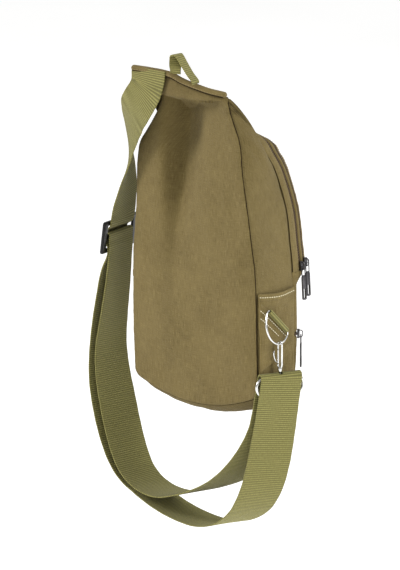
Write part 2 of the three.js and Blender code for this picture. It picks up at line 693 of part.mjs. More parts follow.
for (let i = 0; i <= 16; i += 1) {
  const turn = (Math.PI * i) / 16;
  ringPath.push(ringSpot(
    RING_HALF_WIDTH * Math.cos(turn),
    RING_CORNER + (RING_DEPTH - RING_CORNER) * Math.sin(turn),
  ));
}
ringPath.push(ringSpot(-RING_HALF_WIDTH + RING_CORNER * 0.3, RING_CORNER * 0.3));
const ringAcross = ringAlong.clone().cross(ringOut);
add('d_ring', sweep(ringPath.map((at) => ({ at, across: ringAcross })), round(RING_WIRE), true), steel);

const sleevePath = Array.from({ length: 14 }, (unused, i) => {
  const turn = (2 * Math.PI * i) / 14;
  return {
    at: ringCentre.clone().addScaledVector(ringOut, sleeveRadius * Math.cos(turn))
      .addScaledVector(ringAcross, sleeveRadius * Math.sin(turn)),
    across: ringAlong,
  };
});
add('d_ring_sleeve', sweep(sleevePath, flat(RING_SLEEVE, WEBBING), true), webbing);

// Snap hook: its bend goes over the lowest point of the ring
const lowTurn = Math.atan2(
  (RING_DEPTH - RING_CORNER) * -ringOut.z,
  RING_HALF_WIDTH * -ringAlong.z,
);
const hookTop = ringSpot(
  RING_HALF_WIDTH * Math.cos(lowTurn),
  RING_CORNER + (RING_DEPTH - RING_CORNER) * Math.sin(lowTurn),
);
const rodOff = (HOOK_GAP + HOOK_ROD) / 2;
const bendZ = RING_WIRE / 2 + GAP - HOOK_GAP / 2;
const hookAcross = v3(0, 1, 0);
const hookSpot = (x, y, z) => ({ at: hookTop.clone().add(v3(x, y, z)), across: hookAcross });
const gateFoot = -NOSE_LENGTH - GAP - GATE_LENGTH;
const hookPath = [hookSpot(-rodOff, 0, -NOSE_LENGTH)];
for (let i = 0; i <= 8; i += 1) {
  const turn = Math.PI * (1 - i / 8);
  hookPath.push(hookSpot(rodOff * Math.cos(turn), 0, bendZ + rodOff * Math.sin(turn)));
}
hookPath.push(hookSpot(rodOff, 0, gateFoot + 3));
hookPath.push(hookSpot(rodOff, 0, gateFoot - 1));
hookPath.push(hookSpot(rodOff * 0.6, 0, gateFoot - 3.5));
hookPath.push(hookSpot(-rodOff * 0.4, 0, gateFoot - 4.2));
hookPath.push(hookSpot(-rodOff, 0, gateFoot - 2.6));
hookPath.push(hookSpot(-rodOff, 0, gateFoot - GAP));

const wasm = await Module();
wasm.setup();
function toSolid(geometry) {
  const bare = geometry.clone();
  bare.deleteAttribute('normal');
  bare.deleteAttribute('uv');
  const merged = mergeVertices(bare, 1e-4);
  return new wasm.Manifold(new wasm.Mesh({
    numProp: 3,
    vertProperties: merged.attributes.position.array,
    triVerts: new Uint32Array(merged.index.array),
  }));
}
function toGeometry(solid) {
  const mesh = solid.getMesh();
  const geometry = new THREE.BufferGeometry();
  geometry.setAttribute('position', new THREE.BufferAttribute(mesh.vertProperties, 3));
  geometry.setIndex(new THREE.BufferAttribute(mesh.triVerts, 1));
  geometry.computeVertexNormals();
  return geometry;
}
const join = (...pieces) => toGeometry(pieces.map(toSolid).reduce((a, b) => a.add(b)));
const cut = (piece, tool) => toGeometry(toSolid(piece).subtract(toSolid(tool)));

// Turned piece about the hook's axis, from a list of radius and height below the ring
const turned = (profile, sides = 12) => {
  const outline = profile.map(([radius, z]) => new THREE.Vector2(radius, z));
  const geometry = new THREE.LatheGeometry(outline, sides).rotateX(Math.PI / 2);
  const place = geometry.attributes.position;
  const points = Array.from({ length: place.count }, (unused, i) => (
    v3(0, 0, 0).fromBufferAttribute(place, i).add(hookTop)
  ));
  const faces = Array.from({ length: geometry.index.count / 3 }, (unused, i) => (
    [0, 1, 2].map((k) => geometry.index.array[3 * i + k])
  ));
  return body(points, faces);
};
const stemTop = gateFoot - 3;
const bossTop = -HOOK_LENGTH + EYE_BOSS_HEIGHT / 2;
const bossFoot = -HOOK_LENGTH - EYE_BOSS_HEIGHT / 2;
const stem = turned([
  [0, stemTop],
  [STEM_DIAMETER, stemTop - 0.6],
  [STEM_DIAMETER, bossTop + 4],
  [STEM_DIAMETER / 2, bossTop + 3.4],
  [STEM_DIAMETER / 2, bossFoot - GAP],
  [STEM_DIAMETER * 0.9, bossFoot - GAP],
  [STEM_DIAMETER * 0.9, bossFoot - GAP - 1.2],
  [0, bossFoot - GAP - 1.4],
]);
add('hook_body', join(sweep(hookPath, round(HOOK_ROD)), stem), steel);

const gateRod = sweep([
  hookSpot(-rodOff, 0, gateFoot),
  hookSpot(-rodOff, 0, gateFoot + GATE_LENGTH / 2),
  hookSpot(-rodOff, 0, gateFoot + GATE_LENGTH),
], round(GATE_ROD));
const leverAcross = v3(1, 0, 0);
const lever = sweep([
  { at: hookSpot(-rodOff, 0, gateFoot + 1.6).at, across: leverAcross },
  { at: hookSpot(-rodOff, -3.4, gateFoot + 3).at, across: leverAcross },
  { at: hookSpot(-rodOff, -5.6, gateFoot + 7).at, across: leverAcross },
  { at: hookSpot(-rodOff, -6.8, gateFoot + 12.5).at, across: leverAcross },
  { at: hookSpot(-rodOff, -6, gateFoot + 15).at, across: leverAcross },
], round(LEVER_ROD, 6));
add('hook_gate', join(gateRod, lever), steel);

// Eye of the hook: a flat oval of wire with a boss that the stem turns in
const strapTurn = radians(STRAP_TURN);
const eyeAlong = v3(Math.cos(strapTurn), Math.sin(strapTurn), 0);
const eyeOut = v3(-eyeAlong.y, eyeAlong.x, 0);
const eyeTop = hookTop.clone().add(v3(0, 0, -HOOK_LENGTH));
const eyePath = [];
const eyeRound = EYE_HEIGHT / 2;
const eyeStraight = EYE_HALF_WIDTH - eyeRound;
for (const [start, side] of [[90, 1], [-90, -1]]) {
  for (const share of [-1, -0.5, 0, 0.5]) {
    const at = eyeTop.clone().addScaledVector(eyeAlong, side * share * eyeStraight);
    at.z -= side > 0 ? 0 : EYE_HEIGHT;
    eyePath.push({ at, across: eyeOut });
  }
  for (let i = 0; i < 6; i += 1) {
    const turn = radians(start - 180 * (i / 6));
    const at = eyeTop.clone().addScaledVector(eyeAlong, side * eyeStraight + eyeRound * Math.cos(turn));
    at.z -= eyeRound * (1 - Math.sin(turn));
    eyePath.push({ at, across: eyeOut });
  }
}
const boss = turned([[0, bossTop], [EYE_BOSS / 2, bossTop], [EYE_BOSS / 2, bossFoot], [0, bossFoot]]);
const bore = STEM_DIAMETER / 2 + GAP;
const drill = turned([[0, bossTop + 1], [bore, bossTop + 1], [bore, bossFoot - 1], [0, bossFoot - 1]]);
add('hook_eye', cut(join(sweep(eyePath, round(EYE_WIRE), true), boss), drill), steel);

// Strap slider: a flat frame with a middle bar, set in the left run of the strap
const glideTurn = radians(GLIDE_TURN);
const glideLean = radians(GLIDE_LEAN);
const glideAcross = v3(Math.cos(glideTurn), Math.sin(glideTurn), 0);
const glideFace = v3(-glideAcross.y, glideAcross.x, 0);
const glideDown = v3(0, 0, -Math.cos(glideLean)).addScaledVector(glideFace, -Math.sin(glideLean));
const glideOut = glideAcross.clone().cross(glideDown).normalize();
const glideCentre = v3(GLIDE_X, GLIDE_Y, GLIDE_Z);
const glideSpot = (down, out) => ({
  at: glideCentre.clone().addScaledVector(glideDown, down).addScaledVector(glideOut, out),
  turn: GLIDE_TURN,
});
const glideHalfHeight = GLIDE_MIDDLE_BAR / 2 + GLIDE_SLOT + GLIDE_BAR;
const glideShape = new THREE.Shape();
const glideHalf = GLIDE_WIDTH / 2;
glideShape.moveTo(-glideHalf, -glideHalfHeight + GLIDE_CORNER);
glideShape.quadraticCurveTo(-glideHalf, -glideHalfHeight, -glideHalf + GLIDE_CORNER, -glideHalfHeight);
glideShape.lineTo(glideHalf - GLIDE_CORNER, -glideHalfHeight);
glideShape.quadraticCurveTo(glideHalf, -glideHalfHeight, glideHalf, -glideHalfHeight + GLIDE_CORNER);
glideShape.lineTo(glideHalf, glideHalfHeight - GLIDE_CORNER);
glideShape.quadraticCurveTo(glideHalf, glideHalfHeight, glideHalf - GLIDE_CORNER, glideHalfHeight);
glideShape.lineTo(-glideHalf + GLIDE_CORNER, glideHalfHeight);
glideShape.quadraticCurveTo(-glideHalf, glideHalfHeight, -glideHalf, glideHalfHeight - GLIDE_CORNER);
for (const side of [-1, 1]) {
  const slot = new THREE.Path();
  const low = side * (GLIDE_MIDDLE_BAR / 2);
  const high = side * (GLIDE_MIDDLE_BAR / 2 + GLIDE_SLOT);
  const reach = glideHalf - GLIDE_END;
  slot.moveTo(-reach, low);
  slot.lineTo(reach, low);
  slot.lineTo(reach, high);
  slot.lineTo(-reach, high);
  slot.closePath();
  glideShape.holes.push(slot);
}
const glideFrame = new THREE.ExtrudeGeometry(glideShape, {
  depth: GLIDE_THICKNESS, bevelEnabled: false, curveSegments: 4,
});
glideFrame.translate(0, 0, -GLIDE_THICKNESS / 2);
const glideFrameSpot = new THREE.Matrix4().makeBasis(glideAcross, glideDown, glideOut);
glideFrameSpot.setPosition(glideCentre);
glideFrame.applyMatrix4(glideFrameSpot);
add('strap_slider', glideFrame, plastic);

// Strap route: side is a share of STRAP_SPREAD, out of BACK_Y, rise of STRAP_DROP, turn in degrees
const UPPER_RUN = [
  { side: -0.36, out: 1.535, rise: 2.222, turn: 0 },
  { side: -0.361, out: 1.555, rise: 2.17, turn: -1 },
  { side: -0.37, out: 1.59, rise: 2.12, turn: -3 },
  { side: -0.405, out: 1.62, rise: 2.055, turn: -6 },
  { side: -0.465, out: 1.6, rise: 1.985, turn: -11 },
  { side: -0.54, out: 1.5, rise: 1.915, turn: -18 },
  { side: -0.61, out: 1.32, rise: 1.83, turn: -26 },
  { side: -0.68, out: 1.08, rise: 1.71, turn: -36 },
  { side: -0.73, out: 0.88, rise: 1.57, turn: -47 },
  { side: -0.765, out: 0.77, rise: 1.45, turn: -59 },
  { side: -0.8, out: 0.71, rise: 1.31, turn: -69 },
  { side: -0.835, out: 0.69, rise: 1.18, turn: -75 },
];
const OUTER_RUN = [
  { side: -0.945, out: 0.72, rise: 0.72, turn: -78 },
  { side: -0.985, out: 0.74, rise: 0.52, turn: -81 },
  { side: -1.007, out: 0.77, rise: 0.33, turn: -85 },
  { side: -1.016, out: 0.8, rise: 0.09, turn: -90 },
  { side: -1.002, out: 0.81, rise: -0.08, turn: -94 },
  { side: -0.965, out: 0.81, rise: -0.24, turn: -97 },
  { side: -0.886, out: 0.8, rise: -0.47, turn: -98 },
  { side: -0.793, out: 0.78, rise: -0.65, turn: -96 },
  { side: -0.69, out: 0.74, rise: -0.765, turn: -94 },
  { side: -0.56, out: 0.71, rise: -0.84, turn: -92 },
  { side: -0.37, out: 0.67, rise: -0.92, turn: -92 },
  { side: -0.14, out: 0.61, rise: -0.98, turn: -94 },
  { side: 0.09, out: 0.56, rise: -1, turn: -98 },
  { side: 0.29, out: 0.5, rise: -0.96, turn: -104 },
  { side: 0.46, out: 0.47, rise: -0.855, turn: -110 },
  { side: 0.575, out: 0.46, rise: -0.7, turn: -114 },
  { side: 0.65, out: 0.45, rise: -0.51, turn: -115 },
  { side: 0.705, out: 0.45, rise: -0.3, turn: -113 },
  { side: 0.755, out: 0.46, rise: -0.08, turn: -107.5 },
];
const INNER_RUN = [
  { side: 0.705, out: 0.46, rise: -0.09, turn: -107.5 },
  { side: 0.662, out: 0.46, rise: -0.24, turn: -112 },
  { side: 0.56, out: 0.47, rise: -0.4, turn: -114 },
  { side: 0.41, out: 0.5, rise: -0.55, turn: -112 },
  { side: 0.23, out: 0.56, rise: -0.67, turn: -106 },
  { side: 0.035, out: 0.63, rise: -0.755, turn: -101 },
  { side: -0.145, out: 0.69, rise: -0.81, turn: -97 },
  { side: -0.29, out: 0.72, rise: -0.838, turn: -95 },
  { side: -0.43, out: 0.75, rise: -0.83, turn: -94 },
  { side: -0.57, out: 0.77, rise: -0.785, turn: -93 },
  { side: -0.68, out: 0.78, rise: -0.705, turn: -94 },
  { side: -0.757, out: 0.78, rise: -0.59, turn: -96 },
  { side: -0.822, out: 0.78, rise: -0.44, turn: -97 },
  { side: -0.886, out: 0.78, rise: -0.24, turn: -97 },
  { side: -0.94, out: 0.79, rise: -0.02, turn: -93 },
  { side: -0.957, out: 0.78, rise: 0.16, turn: -88 },
  { side: -0.935, out: 0.75, rise: 0.36, turn: -83 },
  { side: -0.9, out: 0.72, rise: 0.6, turn: -79 },
];
const routeSpot = (row) => ({
  at: v3(row.side * STRAP_SPREAD, row.out * BACK_Y, row.rise * STRAP_DROP),
  turn: row.turn,
});

// Way through the strap slider: over its top bar, behind the middle bar and out over the low bar
const barFace = GLIDE_THICKNESS / 2 + GAP + WEBBING / 2;
const wrapOut = GLIDE_THICKNESS / 2 + GAP * 1.8 + WEBBING / 2;
const behindWrap = wrapOut + WEBBING + GAP * 1.5;
const slotFar = GLIDE_MIDDLE_BAR / 2 + GLIDE_SLOT;
const slotNear = GLIDE_MIDDLE_BAR / 2;
const threading = [
  [-glideHalfHeight - 2, barFace + 0.3],
  [-slotFar - 1, barFace],
  [-slotFar + 1.4, barFace * 0.8],
  [-slotFar + 4.6, -barFace * 0.4],
  [-slotNear - 4.1, -behindWrap * 0.84],
  [-slotNear - 2.4, -behindWrap],
  [0, -behindWrap],
  [slotNear + 2.4, -behindWrap],
  [slotNear + 4.1, -behindWrap * 0.84],
  [slotFar - 4.6, -barFace * 0.4],
  [slotFar - 1.4, barFace * 0.8],
  [slotFar + 1, barFace],
  [glideHalfHeight + 2, barFace],
].map(([down, out]) => glideSpot(down, out));
const sewnOut = barFace + WEBBING + GAP;
const wrap = [
  [glideHalfHeight + 4, sewnOut + 0.3],
  [slotFar + 1, sewnOut],
  [slotFar - 2, sewnOut],
  [slotNear + 5, sewnOut * 0.8],
  [slotNear + 2, wrapOut + 0.2],
  [-slotNear, wrapOut],
  [-slotNear - 1.6, wrapOut * 0.68],
  [-slotNear - 2, 0],
  [-slotNear - 1.6, -wrapOut * 0.68],
  [-slotNear, -wrapOut],
  [slotNear + 1.2, -wrapOut],
].map(([down, out]) => glideSpot(down, out));

// Fold over the top wire of the hook's eye
const fold = Array.from({ length: 9 }, (unused, i) => {
  const turn = (Math.PI * i) / 8;
  return {
    at: eyeTop.clone().addScaledVector(eyeOut, FOLD_RADIUS * Math.cos(turn))
      .add(v3(0, 0, FOLD_RADIUS * Math.sin(turn))),
    turn: STRAP_TURN,
  };
});

const route = [
  ...UPPER_RUN.map(routeSpot),
  ...threading,
  ...OUTER_RUN.map(routeSpot),
  ...fold,
  ...INNER_RUN.map(routeSpot),
  ...wrap,
];
const strapCurve = new THREE.CatmullRomCurve3(route.map((spot) => spot.at), false, 'centripetal');
const strapStations = [];
route.forEach((spot, i) => {
  const pieces = i < route.length - 1 && spot.at.distanceTo(route[i + 1].at) > 14 ? 2 : 1;
  for (let k = 0; k < pieces; k += 1) {
    const t = (i + k / pieces) / (route.length - 1);
    const next = route[Math.min(route.length - 1, i + 1)];
    const turn = radians(mix(spot.turn, next.turn, k / pieces));
    strapStations.push({ at: strapCurve.getPoint(t), across: v3(Math.cos(turn), Math.sin(turn), 0) });
  }
});
const slit = new THREE.BoxGeometry(2 * FOLD_RADIUS, STEM_DIAMETER * 2 + 4 * GAP, 4);
slit.rotateZ(strapTurn + Math.PI / 2).translate(eyeTop.x, eyeTop.y, eyeTop.z + FOLD_RADIUS + 0.4);
add('strap', cut(sweep(strapStations, flat(STRAP_WIDTH, WEBBING)), slit), webbing);

// Binding rolled over the top edges, and the hanging loop sewn into it
const BINDING_STEPS = 20;
const bindingPath = Array.from({ length: BINDING_STEPS + 1 }, (unused, i) => ({
  at: seamPoint(i / BINDING_STEPS).add(v3(0, 0, BINDING_RISE + BINDING_HEIGHT / 2)),
  across: v3(0, 1, 0),
}));
const bindingProfile = round(1, 8).map(([a, n]) => [a * BINDING_THICKNESS, n * BINDING_HEIGHT]);
add('top_binding', sweep(bindingPath, bindingProfile), canvas);

// Hanging loop: feet by share of the top seam and lift over the roll; its way by foot, height and turn
const LOOP_FEET = [{ share: 0.5, lift: 3 }, { share: 0.71, lift: 0.3 }];
const loopFeet = LOOP_FEET.map(({ share, lift }) => (
  seamPoint(share).add(v3(0, 0, BINDING_RISE + BINDING_HEIGHT + GAP + lift))
));
const loopTop = loopFeet[0].clone().lerp(loopFeet[1], 0.1);
loopTop.z = loopFeet[0].z + LOOP_RISE;
const LOOP_ROUTE = [
  { foot: 0, up: 0, turn: 15 },
  { foot: 0, up: 0.3, turn: 35 },
  { foot: 0, up: 0.65, turn: 62 },
  { foot: 0, up: 0.88, turn: 80 },
  { foot: 0.5, up: 1, turn: 90 },
  { foot: 1, up: 0.88, turn: 95 },
  { foot: 1, up: 0.65, turn: 99 },
  { foot: 1, up: 0.3, turn: 101 },
  { foot: 1, up: 0, turn: 101 },
];
const LOOP_LEG = 0.88;
const LOOP_FOLD_WIDTH = 7;
const LOOP_FOLD_DROP = 2;
const loopStations = LOOP_ROUTE.map(({ foot, up, turn }) => {
  const apex = loopTop.clone().add(v3((foot - 0.5) * LOOP_FOLD_WIDTH, 0, up < 1 ? -LOOP_FOLD_DROP : 0));
  const from = loopFeet[Math.round(foot)];
  const at = foot === 0.5 ? apex : from.clone().lerp(apex, Math.min(1, up / LOOP_LEG));
  return { at, across: v3(Math.cos(radians(turn)), Math.sin(radians(turn)), 0) };
});
for (const leg of [0, 1]) {
  const first = loopStations[leg ? loopStations.length - 1 : 0];
  loopStations.splice(leg ? loopStations.length : 0, 0, { at: first.at.clone(), across: first.across });
  first.at.z += WEBBING;
}
const LOOP_STEPS = 3;
const loopRun = loopStations.slice(1).flatMap((next, i) => (
  Array.from({ length: LOOP_STEPS }, (unused, k) => ({
    at: loopStations[i].at.clone().lerp(next.at, k / LOOP_STEPS),
    across: loopStations[i].across.clone().lerp(next.across, k / LOOP_STEPS).normalize(),
  }))
));
loopRun.push(loopStations.at(-1));
add('hang_loop', sweep(loopRun, flat(LOOP_WIDTH, WEBBING)), webbing);

// Link between a slider's bridge and its pull: shares of its half width and of PULL_LINK
const LINK_FOOT = 1.12;
const LINK = [
  { side: -1, along: -0.12 },
  { side: -0.85, along: 0 },
  { side: 0.85, along: 0 },
  { side: 1, along: -0.12 },
  { side: 1, along: -1.12 },
  { side: 0.6, along: -1.32 },
  { side: -0.6, along: -1.32 },
  { side: -1, along: -1.12 },
];

// Zip sliders with hinged pulls; out leads away from the zip and up along it
function zipSlider(name, at, out, up) {
  const side = up.clone().cross(out).normalize();
  const place = (geometry) => geometry.applyMatrix4(
    new THREE.Matrix4().makeBasis(side, up, out).setPosition(at),
  );
  const outline = new THREE.Shape();
  const half = SLIDER_WIDTH / 2;
  const tail = SLIDER_LENGTH / 2;
  outline.moveTo(-half * 0.7, -tail);
  outline.lineTo(half * 0.7, -tail);
  outline.lineTo(half, tail * 0.2);
  outline.lineTo(half * 0.8, tail);
  outline.lineTo(-half * 0.8, tail);
  outline.lineTo(-half, tail * 0.2);
  outline.closePath();
  const plate = new THREE.ExtrudeGeometry(outline, { depth: SLIDER_THICKNESS, bevelEnabled: false });
  plate.translate(0, 0, GAP);
  const top = GAP + SLIDER_THICKNESS;
  const bridge = sweep([
    [-tail * 0.75, top - 0.5],
    [-tail * 0.75, top + BRIDGE_RISE * 0.6],
    [-tail * 0.45, top + BRIDGE_RISE],
    [tail * 0.45, top + BRIDGE_RISE],
    [tail * 0.75, top + BRIDGE_RISE * 0.6],
    [tail * 0.75, top - 0.5],
  ].map(([y, z]) => ({ at: v3(0, y, z), across: v3(1, 0, 0) })), flat(BRIDGE_WIDTH, BRIDGE_THICKNESS));
  add(`slider_${name}`, place(join(plate, bridge)), gunmetal);

  const axle = v3(0, -tail * 0.2, top + BRIDGE_RISE * 0.42);
  const link = [];
  const linkHalf = PULL_WIDTH / 2 - PULL_WIRE / 2;
  for (const { side: x, along: y } of LINK) {
    link.push({ at: v3(x * linkHalf, axle.y + y * PULL_LINK, axle.z), across: v3(0, 0, 1) });
  }
  const pull = new THREE.Shape();
  const wide = PULL_WIDTH / 2;
  const start = axle.y - LINK_FOOT * PULL_LINK;
  const end = start - PULL_LENGTH + PULL_LINK;
  pull.moveTo(-wide * 0.6, start);
  pull.lineTo(wide * 0.6, start);
  pull.lineTo(wide, start - 2.5);
  pull.lineTo(wide, end + 2);
  pull.quadraticCurveTo(wide, end, wide - 2, end);
  pull.lineTo(-wide + 2, end);
  pull.quadraticCurveTo(-wide, end, -wide, end + 2);
  pull.lineTo(-wide, start - 2.5);
  pull.closePath();
  const hole = new THREE.Path();
  hole.moveTo(-wide * 0.45, end + 2.2);
  hole.lineTo(wide * 0.45, end + 2.2);
  hole.lineTo(wide * 0.45, end + 2.2 + PULL_HOLE);
  hole.lineTo(-wide * 0.45, end + 2.2 + PULL_HOLE);
  hole.closePath();
  pull.holes.push(hole);
  const tag = new THREE.ExtrudeGeometry(pull, {
    depth: PULL_THICKNESS, bevelEnabled: false, curveSegments: 3,
  });
  tag.translate(0, 0, axle.z - PULL_THICKNESS / 2);
  add(`pull_${name}`, place(join(sweep(link, round(PULL_WIRE, 6), true), tag)), gunmetal);
}
const footStation = arch[0];
const upArch = arch[1].front.clone().sub(arch[0].front).normalize();
const mainReach = BAND_WIDTH + GAP / 2 + ZIP_WIDTH / 2;
const frontReach = BAND_WIDTH + ZIP_WIDTH + STRIP_WIDTH + ZIP_WIDTH / 2;
const footOut = footStation.inset.clone().negate();
const footUp = upArch.addScaledVector(footOut, -upArch.dot(footOut)).normalize();
const mainAt = lane(footStation, mainReach).addScaledVector(footUp, SLIDER_LENGTH * 0.5);
const frontAt = lane(footStation, frontReach).addScaledVector(footUp, SLIDER_LENGTH * 0.82);
zipSlider('main', mainAt, footOut, footUp);
zipSlider('front', frontAt, footOut, footUp);
const cornerShare = 0.93;
const cornerAt = pocketPoint(cornerShare, POCKET_ZIP_HEIGHT);
const cornerAlong = pocketPoint(cornerShare + 0.02, POCKET_ZIP_HEIGHT)
  .sub(pocketPoint(cornerShare - 0.02, POCKET_ZIP_HEIGHT)).normalize();
const cornerOut = v3(-cornerAlong.y, cornerAlong.x, 0);
zipSlider('pocket', cornerAt, cornerOut.x > 0 ? cornerOut : cornerOut.negate(), v3(0, 0, 1));

// The origin is the inside of the hanging loop's top
const root = new THREE.Group();
bag.position.set(-loopTop.x, -loopTop.y, WEBBING / 2 - loopTop.z);
root.add(bag);
export default root;
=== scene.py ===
"""Canvas crossbody bag hanging from its small loop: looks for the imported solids, in millimetres until placed."""

import math

import bmesh
import bpy
import numpy as np
from mathutils import Matrix, Vector, noise


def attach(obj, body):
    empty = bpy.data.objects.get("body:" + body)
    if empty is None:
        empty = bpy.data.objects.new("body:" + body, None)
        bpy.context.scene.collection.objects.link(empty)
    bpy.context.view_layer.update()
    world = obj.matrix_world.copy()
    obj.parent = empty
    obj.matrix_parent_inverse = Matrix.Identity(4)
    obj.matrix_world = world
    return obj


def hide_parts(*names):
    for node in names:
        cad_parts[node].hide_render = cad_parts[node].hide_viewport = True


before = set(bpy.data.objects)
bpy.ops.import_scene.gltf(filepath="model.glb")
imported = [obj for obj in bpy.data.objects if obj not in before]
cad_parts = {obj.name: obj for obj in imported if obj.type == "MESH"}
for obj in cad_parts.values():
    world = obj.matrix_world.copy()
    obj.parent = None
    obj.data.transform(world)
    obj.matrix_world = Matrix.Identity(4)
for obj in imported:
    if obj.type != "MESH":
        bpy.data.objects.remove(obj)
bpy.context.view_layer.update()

# Sizes in millimetres, in a frame with z = 0 at the back panel's low corners
ORIGIN = np.array([12.0598, 49.8397, -364.1706])
HALF_WIDTH, BAG_HEIGHT, BACK_Y = 93.0, 322.0, -36.0
GUSSET_DEPTH, FRONT_DEPTH, BOTTOM_SAG = 60.0, 71.0, 16.5
CORNER_RADIUS, CORNER_HEIGHT, CORNER_TURN = 11.0, 8.0, math.radians(69)
CANVAS, GAP = 2.0, 0.3
VALLEY_DEPTH, VALLEY_X, VALLEY_LEFT, VALLEY_RIGHT, FLAP_DEPTH, NECK_HEIGHT = 27.0, -31.0, 13.5, 40.0, 15.0, 318.0
ARCH_FOOT, ARCH_SHOULDER, ARCH_RISE, ARCH_START = 129.0, 266.0, 38.0, math.radians(10)
BAND_WIDTH, ZIP_WIDTH, STRIP_WIDTH, FRONT_BULGE = 11.5, 4.0, 3.5, 4.0
SIDE_PITCH, CROWN_PITCH, CROWN_SWELL, BOTTOM_SWELL = 4.0, 52.0, 0.06, 0.19
POCKET_BELLY, POCKET_ROUNDNESS, SHELF_HEIGHT, TURN_SHARE = 3.0, 0.4, 16.0, 0.04
POCKET_ZIP_HEIGHT, SIDE_POCKET_TOP, SIDE_CLOTH = 61.0, 114.0, 1.6
TAB_TOP, TAB_BOTTOM, TAB_REACH, TAB_TIP_HEIGHT, TAB_TIP_SHARE = 105.0, 29.0, 52.0, 57.0, 0.94
RING_WIRE, RING_HALF_WIDTH, RING_DEPTH, RING_Y, RING_Z = 2.4, 21.0, 26.0, -10.3, 82.5
RING_TURN, RING_TILT, RING_SLEEVE, RING_CORNER = math.radians(43), math.radians(16), 37.0, 3.0
HOOK_ROD, HOOK_GAP, HOOK_LENGTH, NOSE_LENGTH, GATE_LENGTH, GATE_ROD = 2.3, 3.2, 36.0, 6.0, 16.0, 2.0
STEM, EYE_WIRE, EYE_HALF_WIDTH, EYE_HEIGHT, EYE_BOSS, EYE_BOSS_HEIGHT = 2.2, 3.2, 28.5, 20.0, 5.0, 3.5
STRAP_WIDTH, WEBBING, STRAP_SPREAD, STRAP_DROP, FOLD_RADIUS, STRAP_TURN = 50.0, 1.5, 140.0, 153.0, 4.1, -107.0
GLIDE_BAR, GLIDE_MIDDLE_BAR, GLIDE_SLOT, GLIDE_THICKNESS = 5.0, 4.4, 10.8, 3.0
GLIDE_SPOT, GLIDE_LEAN, GLIDE_TURN = (-125.0, -25.0, 149.0), math.radians(7), -76.0
BINDING_HEIGHT, BINDING_THICKNESS, BINDING_RISE, LOOP_WIDTH, LOOP_RISE = 5.0, 6.4, 0.6, 13.0, 19.0
RIB_PITCH = 2.3
# in the looks only: rounding of cloth edges, cords that shade the seams, and wires a little thinner than the
# solids, which keeps them clear of each other when the clip turns
EDGE_ROUND, BACK_CORD, FRONT_CORD, ROLL_CORD, TAPE_SUNK, COIL_SUNK = 0.32, 1.5, 1.1, 1.3, 0.9, 0.7
RING_SLIM, HOOK_SLIM, ROLL_FULLNESS, ROLL_DROP = 0.3, 0.15, 0.64, 0.5
CLOTH_STITCH, ROLL_STITCH, PALE_STITCH = 3.0, 3.4, 3.2
BEHIND, BEFORE = (0, 4000, 0), (0, -4000, 0)

# rise; right, left and front of the outline
OUTLINE = [
    (0, 0.995, 0.968, 0.968), (0.18, 0.978, 0.998, 0.988), (0.351, 0.962, 1, 0.98), (0.438, 0.941, 0.994, 0.96),
    (0.506, 0.898, 0.972, 0.93), (0.599, 0.844, 0.946, 0.885), (0.668, 0.801, 0.942, 0.85),
    (0.739, 0.753, 0.93, 0.805), (0.8, 0.728, 0.885, 0.768), (0.839, 0.715, 0.79, 0.745),
    (0.879, 0.672, 0.69, 0.71), (0.938, 0.575, 0.565, 0.64), (1, 0.505, 0.51, 0.55), (1.06, 0.505, 0.51, 0.5)]
# side; out and rise of the top seam
TOP_SEAM = [
    (-0.82, 1.2, 1.056), (-0.52, 1.08, 1.056), (-0.24, 1, 1.053), (-0.06, 0.87, 1.037),
    (0.12, 0.67, 1.024), (0.32, 0.36, 1.012), (0.505, -0.1, 1.003)]
# rise; depth and swell of the gusset
GUSSET = [
    (0, 0.96, 0.05), (0.2, 1, 0.035), (0.45, 1.01, 0.035), (0.59, 1.035, 0.04), (0.675, 0.97, 0.05),
    (0.75, 0.86, 0.06), (0.82, 0.63, 0.09), (0.9, 0.42, 0.15), (1.06, 0.4, 0.12)]
# up; out and drop of the flap under the top seam
FLAP = [
    (0, 0.02, 0), (0.07, 0.1, 0), (0.13, 0.5, 0.04), (0.18, 1, 0.14), (0.25, 1.2, 0.15),
    (0.45, 1.22, 0.08), (0.75, 1.12, 0.02), (1, 1, 0)]


def unit(a):
    a = np.asarray(a, float)
    return a / np.maximum(np.linalg.norm(a, axis=-1, keepdims=True), 1e-9)


def mix(a, b, t):
    return a + (b - a) * t


def smooth(t):
    t = np.clip(t, 0, 1)
    return t * t * (3 - 2 * t)


def stack(x, y, z):
    return np.stack(np.broadcast_arrays(np.asarray(x, float), y, z), -1)


def level(turn):
    return np.stack([np.cos(turn), np.sin(turn), np.zeros(len(turn))], -1)


def lengths(grid, axis):
    """How far each point lies along its column (axis 0) or its row (axis 1) of a grid."""
    return np.insert(np.cumsum(np.linalg.norm(np.diff(grid, axis=axis), axis=-1), axis=axis), 0, 0, axis=axis)


def hermite(a, b, slope_a, slope_b, t):
    t2, t3 = t * t, t * t * t
    return ((2 * t3 - 3 * t2 + 1) * a + (t3 - 2 * t2 + t) * slope_a
            + (3 * t2 - 2 * t3) * b + (t3 - t2) * slope_b)


def read(table, place, column):
    """Smooth value of one column of a table at places along its first column."""
    key = np.array([row[0] for row in table], float)
    value = np.array([row[column] for row in table], float)
    place = np.asarray(place, float)
    i = np.clip(np.searchsorted(key, place) - 1, 0, len(key) - 2)
    before, after = np.maximum(i - 1, 0), np.minimum(i + 2, len(key) - 1)
    span = key[i + 1] - key[i]
    t = np.clip((place - key[i]) / span, 0, 1)
    a, b = value[i], value[i + 1]
    slope_a = (b - value[before]) / (key[i + 1] - key[before]) * span
    slope_b = (value[after] - a) / (key[after] - key[i]) * span
    return hermite(a, b, slope_a, slope_b, t)


def side_x(side, z, left=2):
    return side * HALF_WIDTH * read(OUTLINE, np.asarray(z) / BAG_HEIGHT, 1 if side > 0 else left)


